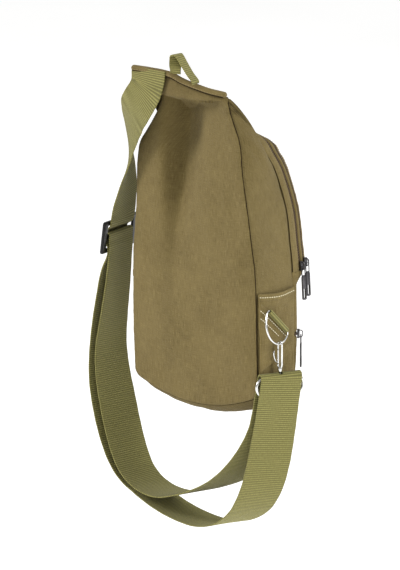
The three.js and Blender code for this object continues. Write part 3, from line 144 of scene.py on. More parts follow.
def seam_point(share):
    side = mix(TOP_SEAM[0][0], TOP_SEAM[-1][0], np.asarray(share, float))
    out, rise = read(TOP_SEAM, side, 1), read(TOP_SEAM, side, 2)
    return stack(side * HALF_WIDTH, BACK_Y - FLAP_DEPTH * out, BAG_HEIGHT * rise)


SEAM_START = (-0.51 - TOP_SEAM[0][0]) / (TOP_SEAM[-1][0] - TOP_SEAM[0][0])


def bottom_point(share):
    share = np.asarray(share, float)
    right, left = side_x(1, CORNER_HEIGHT) - CORNER_RADIUS, side_x(-1, CORNER_HEIGHT) + CORNER_RADIUS
    lowest, reach = CORNER_HEIGHT - CORNER_RADIUS * math.sin(CORNER_TURN), CORNER_RADIUS * math.cos(CORNER_TURN)
    edge = 0.07
    turn_r = mix(CORNER_TURN, CORNER_TURN / 2, (share - 1 + edge) / edge)
    turn_l = mix(CORNER_TURN / 2, CORNER_TURN, share / edge)
    across = (share - edge) / (1 - 2 * edge)
    x = np.where(share > 1 - edge, right + CORNER_RADIUS * np.cos(turn_r),
                 np.where(share < edge, left - CORNER_RADIUS * np.cos(turn_l),
                          mix(left - reach, right + reach, across)))
    z = np.where(share > 1 - edge, CORNER_HEIGHT - CORNER_RADIUS * np.sin(turn_r),
                 np.where(share < edge, CORNER_HEIGHT - CORNER_RADIUS * np.sin(turn_l),
                          lowest - BOTTOM_SAG * 4 * across * (1 - across)))
    return stack(x, 0, z)


def side_point(side, share, top, left=2):
    share = np.asarray(share, float)
    turn = CORNER_TURN / 2 * (1 - share / TURN_SHARE)
    centre = side_x(side, CORNER_HEIGHT) - side * CORNER_RADIUS
    z = mix(CORNER_HEIGHT, top, (share - TURN_SHARE) / (1 - TURN_SHARE))
    low = share < TURN_SHARE
    return stack(np.where(low, centre + side * CORNER_RADIUS * np.cos(turn), side_x(side, z, left)), 0,
                 np.where(low, CORNER_HEIGHT - CORNER_RADIUS * np.sin(turn), z))


def fill(low, high, left, right, ends, across, up):
    """Surface between four edges; the ends are its corners: low left and right, high left and right."""
    return mix(low, high, up) + mix(left, right, across) \
        - mix(mix(ends[0], ends[1], across), mix(ends[2], ends[3], across), up)


def panel_point(across, share):
    seam = seam_point(mix(SEAM_START, 1, across))
    ends = bottom_point(0.0), bottom_point(1.0), seam_point(SEAM_START), seam_point(1.0)
    left, right = side_point(-1, share, ends[2][2]), side_point(1, share, ends[3][2])
    patch = fill(bottom_point(across), seam, left, right, ends, across[..., None], share[..., None])
    x, z = patch[..., 0], patch[..., 2]
    up = np.clip((z - NECK_HEIGHT) / (seam[..., 2] - NECK_HEIGHT), 0, 1)
    over = BACK_Y - seam[..., 1]
    out = over * read(FLAP, up, 1) * (up > 0)
    drop = over * read(FLAP, up, 2) * 2 * smooth(4 * across * (1 - across))
    edge = smooth(np.minimum(across, 1 - across) * 5)
    climb = smooth((z / BAG_HEIGHT - 0.3) / 0.6) * (1 - smooth((z / BAG_HEIGHT - 0.95) / 0.06))
    wide = np.where(x < VALLEY_X, VALLEY_LEFT, VALLEY_RIGHT) * mix(0.8, 1, smooth((z / BAG_HEIGHT - 0.7) / 0.25))
    valley = VALLEY_DEPTH * climb * np.exp(-(((x - VALLEY_X) / wide) ** 2))
    puff = 3 * smooth(z / 60) * (1 - climb * 0.6) * (1 - smooth(up * 3))
    return stack(x, BACK_Y - out + (valley - puff) * edge, z - drop)


def normals(grid, toward):
    """Unit vectors square to a grid of points, on the side that faces a point."""
    n = unit(np.cross(np.gradient(grid, axis=0), np.gradient(grid, axis=1)))
    flip = np.sum(n * (np.asarray(toward, float) - grid), -1, keepdims=True) < 0
    return np.where(flip, -n, n)


def ruffle(points, size, seed=0.0):
    """Soft noise between about -1 and 1, with a size along each axis in millimetres."""
    size = np.broadcast_to(np.asarray(size, float), (3,))
    flat = (points.reshape(-1, 3) / size + seed).tolist()
    return np.array([noise.noise(Vector(p)) for p in flat]).reshape(points.shape[:-1]) * 1.6


# ---- materials
def linear(*rgb):
    """A colour of 0 to 255 as the linear one that the shaders take."""
    return tuple(c / 12.92 if c <= 0.04045 else ((c + 0.055) / 1.055) ** 2.4 for c in (v / 255 for v in rgb)) + (1.0,)


class Look:
    """A material whose nodes work from the piece's own coordinates in metres."""

    def __init__(self, name, colour, roughness, metallic=0.0):
        self.material = bpy.data.materials.new(name)
        self.material.use_nodes = True
        self.tree = self.material.node_tree
        self.shader = self.tree.nodes["Principled BSDF"]
        self.shader.inputs["Base Color"].default_value = colour
        self.shader.inputs["Roughness"].default_value = roughness
        self.shader.inputs["Metallic"].default_value = metallic
        uv = self.tree.nodes.new("ShaderNodeUVMap")
        uv.uv_map = "cloth"
        self.uv = uv.outputs[0]
        self.object = self.tree.nodes.new("ShaderNodeTexCoord").outputs["Object"]

    def node(self, kind, inputs=(), **options):
        n = self.tree.nodes.new(kind)
        for key, value in options.items():
            setattr(n, key, value)
        for key, value in dict(inputs).items():
            if isinstance(value, bpy.types.NodeSocket):
                self.tree.links.new(value, n.inputs[key])
            else:
                n.inputs[key].default_value = value
        return n

    def math(self, operation, a, b=0.0):
        return self.node("ShaderNodeMath", {0: a, 1: b}, operation=operation).outputs[0]

    def scaled(self, source, scale):
        return self.node("ShaderNodeVectorMath", {0: source, 1: scale}, operation="MULTIPLY").outputs[0]

    def noise(self, source, scale, detail=2.0):
        inputs = {"Vector": self.scaled(source, scale), "Scale": 1.0, "Detail": detail}
        return self.node("ShaderNodeTexNoise", inputs).outputs[0]

    def axis(self, source, which):
        return self.node("ShaderNodeSeparateXYZ", {0: source}).outputs[which]

    def wave(self, value, pitch):
        return self.math("SINE", self.math("MULTIPLY", value, 2 * math.pi / pitch))

    def blend(self, factor, a, b):
        return self.node("ShaderNodeMix", {0: factor, 6: a, 7: b}, data_type="RGBA").outputs[2]

    def span(self, value, low, high, to_low=0.0, to_high=1.0):
        return self.node("ShaderNodeMapRange", {"Value": value, "From Min": low, "From Max": high,
                                                "To Min": to_low, "To Max": to_high}).outputs[0]

    def bump(self, height, distance, strength=1.0):
        n = self.node("ShaderNodeBump", {"Height": height, "Distance": distance, "Strength": strength})
        self.tree.links.new(n.outputs[0], self.shader.inputs["Normal"])

    def to(self, socket, value):
        self.tree.links.new(value, self.shader.inputs[socket])


def cloth_look(name, dark, mid, light, pitch=0.0009):
    look = Look(name, mid, 0.92)
    warp = look.noise(look.uv, (1500, 90, 1), 2)
    weft = look.noise(look.uv, (90, 1500, 1), 2)
    yarn = look.math("ADD", look.math("MULTIPLY", warp, 0.6), look.math("MULTIPLY", weft, 0.4))
    fleck = look.noise(look.uv, (900, 900, 1), 1)
    worn = look.noise(look.object, (22, 22, 22), 3)
    weave = look.math("MULTIPLY", look.wave(look.axis(look.uv, 0), pitch), look.wave(look.axis(look.uv, 1), pitch))
    base = look.blend(look.span(yarn, 0.36, 0.64), dark, light)
    base = look.blend(look.span(fleck, 0.35, 0.7), base, mid)
    base = look.blend(look.span(worn, 0.3, 0.75, 0.0, 0.35), base, light)
    base = look.blend(look.span(weave, -1, 1, 0.22, 0.0), base, dark)
    look.to("Base Color", base)
    look.bump(look.math("ADD", look.math("MULTIPLY", weave, 0.5), look.math("MULTIPLY", yarn, 1.3)), 0.00045, 0.7)
    look.shader.inputs["Sheen Weight"].default_value = 0.06
    look.shader.inputs["Sheen Roughness"].default_value = 0.6
    look.shader.inputs["Specular IOR Level"].default_value = 0.15
    return look.material


def webbing_look(name, dark, light):
    look = Look(name, light, 0.8)
    rib_groove_shade = look.wave(look.axis(look.uv, 1), RIB_PITCH / 1000)
    threads = look.wave(look.axis(look.uv, 0), 0.0011)
    yarn = look.noise(look.uv, (1100, 260, 1), 2)
    # dark and light bands at the rib pitch, darker in the grooves between the ribs: painted shade
    base = look.blend(look.span(rib_groove_shade, -1, 1), dark, light)
    base = look.blend(look.span(yarn, 0.35, 0.7, 0.0, 0.5), base, dark)
    base = look.blend(look.span(threads, -1, 1, 0.0, 0.12), base, dark)
    look.to("Base Color", base)
    look.bump(look.math("ADD", threads, yarn), 0.0003, 0.6)
    look.shader.inputs["Sheen Weight"].default_value = 0.1
    look.shader.inputs["Specular IOR Level"].default_value = 0.25
    return look.material


def plain_look(name, colour, roughness, metallic=0.0, grain=0.04, bump=0.00002, specular=0.5):
    look = Look(name, colour, roughness, metallic)
    fine = look.noise(look.object, (1400, 1400, 1400), 2)
    broad = look.noise(look.object, (160, 160, 160), 2)
    shade = tuple(c * 0.75 for c in colour[:3]) + (1.0,)
    look.to("Base Color", look.blend(look.span(broad, 0.35, 0.7, 0.0, 0.6), colour, shade))
    look.to("Roughness", look.span(fine, 0.3, 0.7, max(0.02, roughness - grain), roughness + grain))
    look.bump(fine, bump, 0.5)
    look.shader.inputs["Specular IOR Level"].default_value = specular
    return look.material


canvas = cloth_look("canvas", linear(76, 63, 31), linear(110, 95, 54), linear(142, 125, 79))
canvas_thread = plain_look("canvas_thread", linear(150, 132, 92), 0.75, specular=0.2)
shadow = plain_look("seam_shadow", linear(44, 35, 20), 0.9, specular=0.1)
pale_thread = plain_look("pale_thread", linear(228, 220, 188), 0.7, specular=0.2)
webbing = webbing_look("webbing", linear(96, 92, 47), linear(156, 150, 87))
tape = plain_look("zip_tape", linear(58, 46, 30), 0.8, specular=0.2)
coil = plain_look("zip_coil", linear(88, 68, 44), 0.38)
steel = plain_look("steel", linear(225, 225, 222), 0.16, 1.0)
gunmetal = plain_look("gunmetal", linear(92, 90, 92), 0.3, 1.0)
plastic = plain_look("black_plastic", linear(14, 14, 15), 0.34, grain=0.06, specular=0.35)


# ---- building pieces
def place(points):
    return (np.asarray(points, float) + ORIGIN) / 1000


def make(name, verts, faces, uv, look, node=None, slot=None, body="bag"):
    mesh = bpy.data.meshes.new(name)
    mesh.from_pydata(verts.tolist(), [], faces)
    layer = mesh.uv_layers.new(name="cloth")
    index = np.zeros(len(mesh.loops), np.int32)
    mesh.loops.foreach_get("vertex_index", index)
    layer.data.foreach_set("uv", np.asarray(uv, np.float32)[index].ravel())
    mesh.polygons.foreach_set("use_smooth", [True] * len(mesh.polygons))
    mesh.update()
    obj = bpy.data.objects.new(name, mesh)
    bpy.context.collection.objects.link(obj)
    obj.data.materials.append(look)
    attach(obj, body)
    if node:
        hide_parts(*([node] if isinstance(node, str) else node))
    slot or {"canvas": "canvas", "webbing": "webbing"}.get(look.name, "canvas")
    return obj


def face_out(obj):
    data = bmesh.new()
    data.from_mesh(obj.data)
    bmesh.ops.recalc_face_normals(data, faces=data.faces)
    data.to_mesh(obj.data)
    data.free()
    return obj


def wall(name, grid, inset, thickness, look, **options):
    """Cloth of a thickness whose outer face is the grid, with rounded edges."""
    rows, columns = grid.shape[:2]
    count = rows * columns
    uv = stack(lengths(grid, 1)[rows // 2], lengths(grid, 0)[:, columns // 2][:, None], 0)[..., :2].reshape(-1, 2)
    outer, inner = grid.reshape(-1, 3), (grid + inset * thickness).reshape(-1, 3)
    verts, coords = [outer, inner], [uv, uv]
    ids = np.arange(count).reshape(rows, columns)
    a = ids[:-1, :-1].ravel()
    quads = [np.stack([a, a + columns, a + columns + 1, a + 1], 1),
             np.stack([a, a + 1, a + columns + 1, a + columns], 1) + count]
    start = 2 * count
    for edge, near in ((ids[:, 0], ids[:, 1]), (ids[::-1, -1], ids[::-1, -2]),
                       (ids[0, ::-1], ids[1, ::-1]), (ids[-1], ids[-2])):
        verts.append((outer[edge] + inner[edge]) / 2 + unit(outer[edge] - outer[near]) * thickness * EDGE_ROUND)
        coords.append(uv[edge])
        m = start + np.arange(len(edge))
        start += len(edge)
        quads.append(np.stack([edge[:-1], m[:-1], m[1:], edge[1:]], 1))
        quads.append(np.stack([m[:-1], edge[:-1] + count, edge[1:] + count, m[1:]], 1))
    verts, coords = place(np.concatenate(verts)), np.concatenate(coords) / 1000
    return face_out(make(name, verts, np.concatenate(quads).tolist(), coords, look, **options))


def sweep(name, at, across, profile, look, closed=False, skip=None, flat_uv=False, **options):
    """Solid swept along points under a profile, which may change from station to station."""
    at = np.asarray(at, float)
    count = len(at)
    profile = np.asarray(profile, float)
    if profile.ndim == 2:
        profile = np.broadcast_to(profile, (count,) + profile.shape)
    ahead = np.roll(at, -1, 0) if closed else np.concatenate([at[1:], at[-1:]])
    behind = np.roll(at, 1, 0) if closed else np.concatenate([at[:1], at[:-1]])
    tangent = unit(ahead - behind)
    normal = unit(np.cross(tangent, np.broadcast_to(across, at.shape)))
    side = unit(np.cross(normal, tangent))
    points = at[:, None] + side[:, None] * profile[..., :1] + normal[:, None] * profile[..., 1:2]
    sides = profile.shape[1]
    u = profile[..., 0] if flat_uv else lengths(profile, 1)
    uv = np.stack([u, np.broadcast_to(lengths(at, 0)[:, None], (count, sides))], -1)
    i, j = np.meshgrid(np.arange(count if closed else count - 1), np.arange(sides), indexing="ij")
    if skip is not None:
        keep = ~skip[i, j]
        i, j = i[keep], j[keep]
    i, j = i.ravel(), j.ravel()
    n, k = (i + 1) % count, (j + 1) % sides
    faces = np.stack([i * sides + j, i * sides + k, n * sides + k, n * sides + j], 1).tolist()
    if not closed:
        faces.append(list(range(sides))[::-1])
        faces.append([(count - 1) * sides + s for s in range(sides)])
    return face_out(make(name, place(points.reshape(-1, 3)), faces, uv.reshape(-1, 2) / 1000, look, **options))


def disc(diameter, sides=16):
    turn = 2 * np.pi * (np.arange(sides) + 0.5) / sides
    return np.stack([np.cos(turn), np.sin(turn)], 1) * diameter / 2


def dense(points, step, closed=False):
    """The same path through more points, on a curve with even speed."""
    points = [np.asarray(p, float) for p in points]
    count = len(points)
    result = []
    for i in range(count if closed else count - 1):
        if closed:
            p = [points[(i + k) % count] for k in (-1, 0, 1, 2)]
        else:
            p1, p2 = points[i], points[i + 1]
            p = [points[i - 1] if i else 2 * p1 - p2, p1, p2, points[i + 2] if i + 2 < count else 2 * p2 - p1]
        d = [max(np.linalg.norm(p[k + 1][:3] - p[k][:3]) ** 0.5, 1e-4) for k in range(3)]
        m1 = ((p[1] - p[0]) / d[0] - (p[2] - p[0]) / (d[0] + d[1]) + (p[2] - p[1]) / d[1]) * d[1]
        m2 = ((p[2] - p[1]) / d[1] - (p[3] - p[1]) / (d[1] + d[2]) + (p[3] - p[2]) / d[2]) * d[1]
        steps = max(1, int(math.ceil(np.linalg.norm(p[2][:3] - p[1][:3]) / step)))
        for k in range(steps):
            result.append(hermite(p[1], p[2], m1, m2, k / steps))
    if not closed:
        result.append(points[-1])
    return np.array(result)


def even(points, step):
    """Points at an even step along a path, with any further columns carried along."""
    points = np.asarray(points, float)
    length = lengths(points[:, :3], 0)
    count = max(2, int(length[-1] / step) + 1)
    want = np.linspace(0, length[-1], count)
    return np.stack([np.interp(want, length, points[:, k]) for k in range(points.shape[1])], 1)


def threads(name, lines, look, length, radius, lift=0.15, slot="canvas"):
    """Short rounded threads: each line is places, directions along each thread and directions out."""
    verts, faces = [], []
    rings = ((-1.0, 0.3, -0.6), (-0.62, 1.0, 0.0), (0.62, 1.0, 0.0), (1.0, 0.3, -0.6))
    sides = 6
    for spots, along, out in lines:
        for c, t, n in zip(spots, unit(along), unit(out)):
            b = np.cross(t, n)
            first = len(verts)
            for s, r, drop in rings:
                for k in range(sides):
                    turn = 2 * math.pi * k / sides
                    verts.append(c + t * s * length / 2 + n * (lift + drop * radius + r * radius * math.sin(turn))
                                 + b * r * radius * math.cos(turn))
            for ring_no in range(3):
                for k in range(sides):
                    a, d = first + ring_no * sides + k, first + ring_no * sides + (k + 1) % sides
                    faces.append([a, d, d + sides, a + sides])
            faces.append([first + k for k in range(sides)][::-1])
            faces.append([first + 3 * sides + k for k in range(sides)])
    verts = np.array(verts)
    return face_out(make(name, place(verts), faces, verts[:, [0, 2]] / 1000, look, slot=slot))


def stitch_line(points, out, pitch):
    """Places, directions and outward directions for a row of stitches along points."""
    rows = even(np.concatenate([np.asarray(points, float), np.asarray(out, float)], 1), pitch)
    spots = rows[:, :3]
    return spots, np.gradient(spots, axis=0), rows[:, 3:]


def cad_copy(node, look, bevel, body="bag"):
    """A CAD piece again, with rounded edges and its own look."""
    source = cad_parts[node]
    data = bmesh.new()
    data.from_mesh(source.data)
    bmesh.ops.remove_doubles(data, verts=data.verts, dist=1e-6)
    bmesh.ops.dissolve_limit(data, angle_limit=math.radians(3), verts=data.verts, edges=data.edges)
    mesh = bpy.data.meshes.new(node + "_look")
    data.to_mesh(mesh)
    data.free()
    mesh.materials.clear()
    mesh.materials.append(look)
    if not mesh.uv_layers.get("cloth"):
        mesh.uv_layers.new(name="cloth")
    obj = bpy.data.objects.new(node + "_look", mesh)
    bpy.context.collection.objects.link(obj)
    obj.matrix_world = source.matrix_world
    modifier = obj.modifiers.new("round", "BEVEL")
    modifier.width = bevel / 1000
    modifier.segments = 3
    modifier.limit_method = "ANGLE"
    modifier.angle_limit = math.radians(30)
    modifier.harden_normals = True
    mesh.polygons.foreach_set("use_smooth", [True] * len(mesh.polygons))
    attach(obj, body)
    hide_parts(node)
    return obj


# ---- back panel
def side_share(z):
    """Share of the way up the gusset's side edge at a height."""
    return TURN_SHARE + (1 - TURN_SHARE) * ((z - CORNER_HEIGHT) / (ARCH_SHOULDER - CORNER_HEIGHT))


FOOT_SHARE, CREASE_SHARE = side_share(ARCH_FOOT), 0.925
FOOT_ROW, COLUMNS = 59, 96
SHARES = np.concatenate([np.linspace(0, FOOT_SHARE, FOOT_ROW + 1),
                         np.linspace(FOOT_SHARE, CREASE_SHARE, 60)[1:], np.linspace(CREASE_SHARE, 1, 44)[1:]])
ACROSS = np.linspace(0, 1, COLUMNS + 1)
panel = panel_point(*np.meshgrid(ACROSS, SHARES))
panel_in = normals(panel, BEHIND)


def rim_distance(grid):
    """How far each point lies from the grid's nearest edge, in millimetres."""
    across, along = lengths(grid, 1), lengths(grid, 0)
    return np.minimum(np.minimum(across, across[:, -1:] - across), np.minimum(along, along[-1:] - along))


def worn_cloth(grid, inset, edge=0.8, soft=1.2, pucker=0.35, seed=0.0):
    """The grid with its edges sunk into their seams, with soft dents, and puckers beside the seams."""
    rim = rim_distance(grid)
    sink = edge * np.exp(-(rim / 1.7) ** 2)
    broad = soft * ruffle(grid, (46, 46, 70), seed) * smooth(rim / 22)
    small = 0.32 * soft * ruffle(grid, (15, 15, 24), seed + 7.3) * smooth(rim / 12)
    gather = pucker * ruffle(grid, (7, 7, 7), seed + 3.1) * np.exp(-(rim / 6.0) ** 2)
    return grid + inset * (sink + broad + small + gather)[..., None]


wall("back_cloth", worn_cloth(panel, panel_in, soft=1.1, seed=1.7), panel_in, CANVAS, canvas, node="back_panel")

# ---- ring round the bag: back and front of the gusset at each station
def side_front(side, share):
    at = side_point(side, share, ARCH_SHOULDER, 3)
    low = at[..., 2] <= CORNER_HEIGHT
    at[..., 0] = np.where(low, side_point(side, share, ARCH_SHOULDER)[..., 0], at[..., 0])
    at[..., 1] = BACK_Y + GUSSET_DEPTH * read(GUSSET, at[..., 2] / BAG_HEIGHT, 1)
    return at


def bottom_front(across):
    at = bottom_point(across)
    at[..., 1] = BACK_Y + GUSSET_DEPTH * GUSSET[0][1]
    return at


def arch_point(across):
    right, left = side_x(1, ARCH_SHOULDER), side_x(-1, ARCH_SHOULDER, 3)
    turn = mix(math.pi - ARCH_START, ARCH_START, across)
    lift = (np.sin(turn) - math.sin(ARCH_START)) / (1 - math.sin(ARCH_START))
    x = mix(left, right, (1 + np.cos(turn) / math.cos(ARCH_START)) / 2)
    depth = read(GUSSET, ARCH_SHOULDER / BAG_HEIGHT, 1) * GUSSET_DEPTH
    return stack(x, BACK_Y + mix(depth, depth * 0.72, lift), ARCH_SHOULDER + ARCH_RISE * lift)


def around(grid):
    """The edge of the panel as one ring: up the right, over the top, down the left and along the bottom."""
    return np.concatenate([grid[:, -1], grid[-1, -2:0:-1], grid[::-1, 0], grid[0, 1:-1]])


down, back_way, bottom_way = slice(None, None, -1), ACROSS[-2:0:-1], ACROSS[1:-1]
side_swell = read(GUSSET, panel[:, 0, 2] / BAG_HEIGHT, 2)
side_pitch = SIDE_PITCH * (1 + smooth(SHARES))
ring_back, ring_normal = around(panel + panel_in * (CANVAS + GAP)), around(panel_in)
ring_front = np.concatenate([side_front(1, SHARES), arch_point(back_way),
                             side_front(-1, SHARES[down]), bottom_front(bottom_way)])
mound = smooth(4 * back_way * (1 - back_way))
low_swell = mix(GUSSET[0][2], BOTTOM_SWELL, smooth(6 * np.minimum(ACROSS, 1 - ACROSS)[1:-1]))
ring_swell = np.concatenate([side_swell, np.full(len(back_way), CROWN_SWELL), side_swell[down], low_swell])
ring_pitch = np.radians(np.concatenate([side_pitch, mix(2 * SIDE_PITCH, CROWN_PITCH, mound),
                                        side_pitch[down], np.zeros(COLUMNS - 1)]))
RIGHT = slice(0, len(SHARES))
LEFT = slice(len(SHARES) + COLUMNS - 1, 2 * len(SHARES) + COLUMNS - 1)


def loop_smooth(values, passes):
    for _ in range(passes):
        values = (np.roll(values, 1, 0) + 2 * values + np.roll(values, -1, 0)) / 4
    return values


along = np.roll(ring_front, -1, 0) - np.roll(ring_front, 1, 0)
along[:, 1] = 0
along = unit(loop_smooth(unit(along), 12))
ring_in = stack(-along[:, 2], 0, along[:, 0])
ring_ahead = ring_in * np.sin(ring_pitch)[:, None] + np.array([0, 1, 0]) * np.cos(ring_pitch)[:, None]
ring_inset = ring_in * np.cos(ring_pitch)[:, None] - np.array([0, 1, 0]) * np.sin(ring_pitch)[:, None]

GUSSET_COLUMNS = 28
depth_share = np.linspace(0, 1, GUSSET_COLUMNS + 1)
gusset = ring_back[:, None] + (ring_front - ring_back)[:, None] * depth_share[None, :, None] \
    - ring_in[:, None] * (GUSSET_DEPTH * ring_swell[:, None] * np.sin(np.pi * depth_share ** 0.8))[..., None]
gusset = np.concatenate([gusset, gusset[:1]])
gusset_in = normals(gusset, (0, 0, BAG_HEIGHT / 2))
first = unit(ring_in - ring_normal * np.sum(ring_in * ring_normal, -1, keepdims=True))
gusset_in[:-1, 0], gusset_in[:-1, -1] = first, ring_inset
gusset_in[-1] = gusset_in[0]
reach = np.linalg.norm(ring_front - ring_back, axis=1)
reach = np.concatenate([reach, reach[:1]])[:, None]
rim = np.minimum(depth_share[None], 1 - depth_share[None]) * reach
sink = 0.8 * np.exp(-(rim / 1.7) ** 2)
# dents of the right side: height, how far from the back seam, length, width and depth
DENTS = [(262, 0.30, 16, 9, 3.2), (236, 0.62, 30, 12, 1.6), (196, 0.35, 34, 10, 1.1), (150, 0.6, 26, 14, 1.0)]
dent = np.zeros(gusset.shape[:2])
for height, share, long, wide, deep in DENTS:
    lean = (gusset[..., 2] - height) + 0.7 * (depth_share[None] - share) * reach
    dent += deep * np.exp(-(lean / wide) ** 2 - (((depth_share[None] - share) * reach) / long) ** 2)
broad = 1.1 * ruffle(gusset, (40, 40, 60), 9.1) * smooth(rim / 14)
small = 0.35 * ruffle(gusset, (13, 13, 18), 2.2) * smooth(rim / 9)
gather = 0.3 * ruffle(gusset, (6, 6, 6), 4.4) * np.exp(-(rim / 6.0) ** 2)
fade = smooth((gusset[..., 2] - SIDE_POCKET_TOP + 4) / 14) + (gusset[..., 2] < 6)
gusset_worn = gusset + gusset_in * (sink + (broad + small + dent) * np.clip(fade, 0, 1) + gather)[..., None]
wall("gusset_cloth", gusset_worn, gusset_in, CANVAS, canvas, node="gusset")



def cord(name, line, diameter, **options):
    """Dark cord along a seam, which reads as its shadow."""
    sweep(name, line, (0, 1, 0), disc(diameter, 8), shadow, slot="canvas", **options)


seam_rows = ring_back - ring_normal * 0.3 - ring_in * 0.1
for name, part in (("right", RIGHT), ("left", LEFT)):
    cord("seam_back_" + name, seam_rows[part], BACK_CORD, node="gusset")
cord("seam_bottom", seam_rows[-(COLUMNS - 1):], BACK_CORD)
arch = slice(FOOT_ROW, len(ring_front) - (COLUMNS - 1) - FOOT_ROW)
cord("seam_front", ring_front[arch] + (0, 0.15, 0), FRONT_CORD)

# ---- zip arch and front
arch_front, arch_ahead, arch_inset = ring_front[arch], ring_ahead[arch], ring_inset[arch]


def lane(reach):
    return arch_front + arch_ahead * reach


def arch_strip(name, start, end, columns, look, swell=0.0, sunk=0.0, **options):
    shares = np.linspace(0, 1, columns + 1)
    grid = np.stack([lane(mix(start, end, s)) for s in shares], 1)
    inset = np.broadcast_to(arch_inset[:, None], grid.shape)
    rise = swell * np.sin(np.pi * shares) - sunk
    grid = grid - inset * rise[None, :, None]
    return wall(name, grid, inset, CANVAS * (0.55 if sunk else 1), look, **options)


def coil_rows(name, centre, across, out):
    rows = even(np.concatenate([centre, across, out], 1), 1.35)
    spots, side, up = rows[:, :3], unit(rows[:, 3:6]), unit(rows[:, 6:])
    shift = np.where(np.arange(len(spots)) % 2 == 0, 1.0, -1.0)[:, None]
    lean = unit(np.gradient(spots, axis=0)) * 0.35
    return threads(name, [(spots + side * shift * 0.75, side + lean, up)], coil, 2.5, 0.52, lift=0.25,
                   slot="zip_tape")


arch_strip("zip_band_cloth", GAP, BAND_WIDTH, 10, canvas, swell=0.8, node="zip_band")
arch_strip("main_zip_tape", BAND_WIDTH + GAP, BAND_WIDTH + ZIP_WIDTH, 2, tape, sunk=TAPE_SUNK,
           node="main_zip", slot="zip_tape")
mid = BAND_WIDTH + ZIP_WIDTH
arch_strip("middle_strip_cloth", mid + GAP, mid + STRIP_WIDTH, 6, canvas, swell=0.5, node="middle_strip")
low = mid + STRIP_WIDTH
arch_strip("front_zip_tape", low + GAP, low + ZIP_WIDTH, 2, tape, sunk=TAPE_SUNK,
           node="front_zip", slot="zip_tape")
for name, reach in (("main", BAND_WIDTH), ("front", low)):
    coil_rows(name + "_coil", lane(reach + ZIP_WIDTH / 2) + arch_inset * COIL_SUNK, arch_ahead, -arch_inset)
ARCH_REACH = low + ZIP_WIDTH + 3 * GAP

inner = lane(ARCH_REACH)
rows_up = len(SHARES) - FOOT_ROW
right_edge, left_edge = inner[:rows_up], inner[::-1][:rows_up]
crown_edge = inner[rows_up - 1:len(inner) - rows_up + 1][::-1]
up = ((SHARES[FOOT_ROW:] - FOOT_SHARE) / (1 - FOOT_SHARE))[:, None, None]
crown_share = np.linspace(0, 1, len(crown_edge))[None, :, None]
low_edge = mix(left_edge[0], right_edge[0], crown_share[0])
ends = left_edge[0], right_edge[0], crown_edge[0], crown_edge[-1]
front = fill(low_edge[None], crown_edge[None], left_edge[:, None], right_edge[:, None], ends, crown_share, up)
front[..., 1] += FRONT_BULGE * ((1 - np.abs(2 * crown_share - 1) ** 4) * (1 - up ** 4))[..., 0]
front_in = normals(front, BEFORE)
front_worn = worn_cloth(front, front_in, soft=1.2, seed=5.2)
wall("front_cloth", front_worn, front_in, CANVAS, canvas, node="front_panel")

FOOT_HEIGHT = arch_front[0][2]


def pocket_point(across, z):
    turn = np.pi * (1 - across)
    share = side_share(z)
    right, left = side_front(1, share), side_front(-1, share)
    bend = lambda value: np.sign(value) * np.abs(value) ** POCKET_ROUNDNESS
    step = ARCH_REACH + FRONT_BULGE - (FRONT_DEPTH - GUSSET_DEPTH)
    depth = FRONT_DEPTH - GUSSET_DEPTH + step * smooth(1 - (FOOT_HEIGHT - z) / SHELF_HEIGHT)
    return stack(mix(left[..., 0], right[..., 0], (1 + bend(np.cos(turn))) / 2),
                 mix(left[..., 1], right[..., 1], across) + GAP + depth * bend(np.sin(turn)), z)


POCKET_ACROSS = (1 - np.cos(np.pi * np.linspace(0, 1, 81))) / 2
ZIP_LOW, ZIP_HIGH = POCKET_ZIP_HEIGHT - ZIP_WIDTH / 2, POCKET_ZIP_HEIGHT + ZIP_WIDTH / 2


def pocket_grid(low, high, rows):
    z, across = np.meshgrid(np.linspace(low, high, rows + 1), POCKET_ACROSS, indexing="ij")
    return pocket_point(across, z)


def pocket_wall(name, grid, node, look=canvas, worn=True, sunk=0.0, slot=None):
    inset = normals(grid, BEFORE)
    inset[:, 0], inset[:, -1] = (1, 0, 0), (-1, 0, 0)
    shaped = worn_cloth(grid, inset, soft=1.0, seed=11.0) if worn else grid + inset * sunk
    return wall(name, shaped, inset, CANVAS if worn else 1.1, look, node=node, slot=slot)


def forward(line):
    """Directions square to a line across the front, away from the bag."""
    out = unit(np.cross(np.gradient(line, axis=0), (0, 0, 1.0)))
    return np.where(out[:, 1:2] < 0, -out, out)


pocket_wall("pocket_top_cloth", pocket_grid(ZIP_HIGH + GAP, FOOT_HEIGHT - GAP, 36), "pocket_top")
pocket_wall("pocket_zip_tape", pocket_grid(ZIP_LOW + GAP, ZIP_HIGH, 2), "pocket_zip", tape, False, TAPE_SUNK,
            "zip_tape")
zip_line = pocket_point(np.linspace(0.004, 0.996, 400), np.full(400, POCKET_ZIP_HEIGHT))
zip_out = forward(zip_line)
coil_rows("pocket_coil", zip_line - zip_out * COIL_SUNK, np.broadcast_to((0, 0, 1.0), zip_line.shape), zip_out)

low_share = side_share(ZIP_LOW)
up = np.linspace(0, 1, 40)[:, None, None]
spread = ((1 - np.cos(np.pi * POCKET_ACROSS)) / 2)[None, :, None]
low_row, high_row = bottom_front(spread[0, :, 0])[None], pocket_point(POCKET_ACROSS, np.full(81, ZIP_LOW))[None]
left_col, right_col = (side_front(side, up[:, 0, 0] * low_share)[:, None] for side in (-1, 1))
ends = low_row[:, :1], low_row[:, -1:], high_row[:, :1], high_row[:, -1:]
pocket = fill(low_row, high_row, left_col, right_col, ends, spread, up)
belly = np.sqrt(np.sin(np.pi * POCKET_ACROSS).clip(0))[None, :, None]
pocket[..., 1] += (GAP * (1 - up) + POCKET_BELLY * np.sin(np.pi * up) * belly)[..., 0]
pocket_wall("pocket_cloth", pocket, "pocket_front")

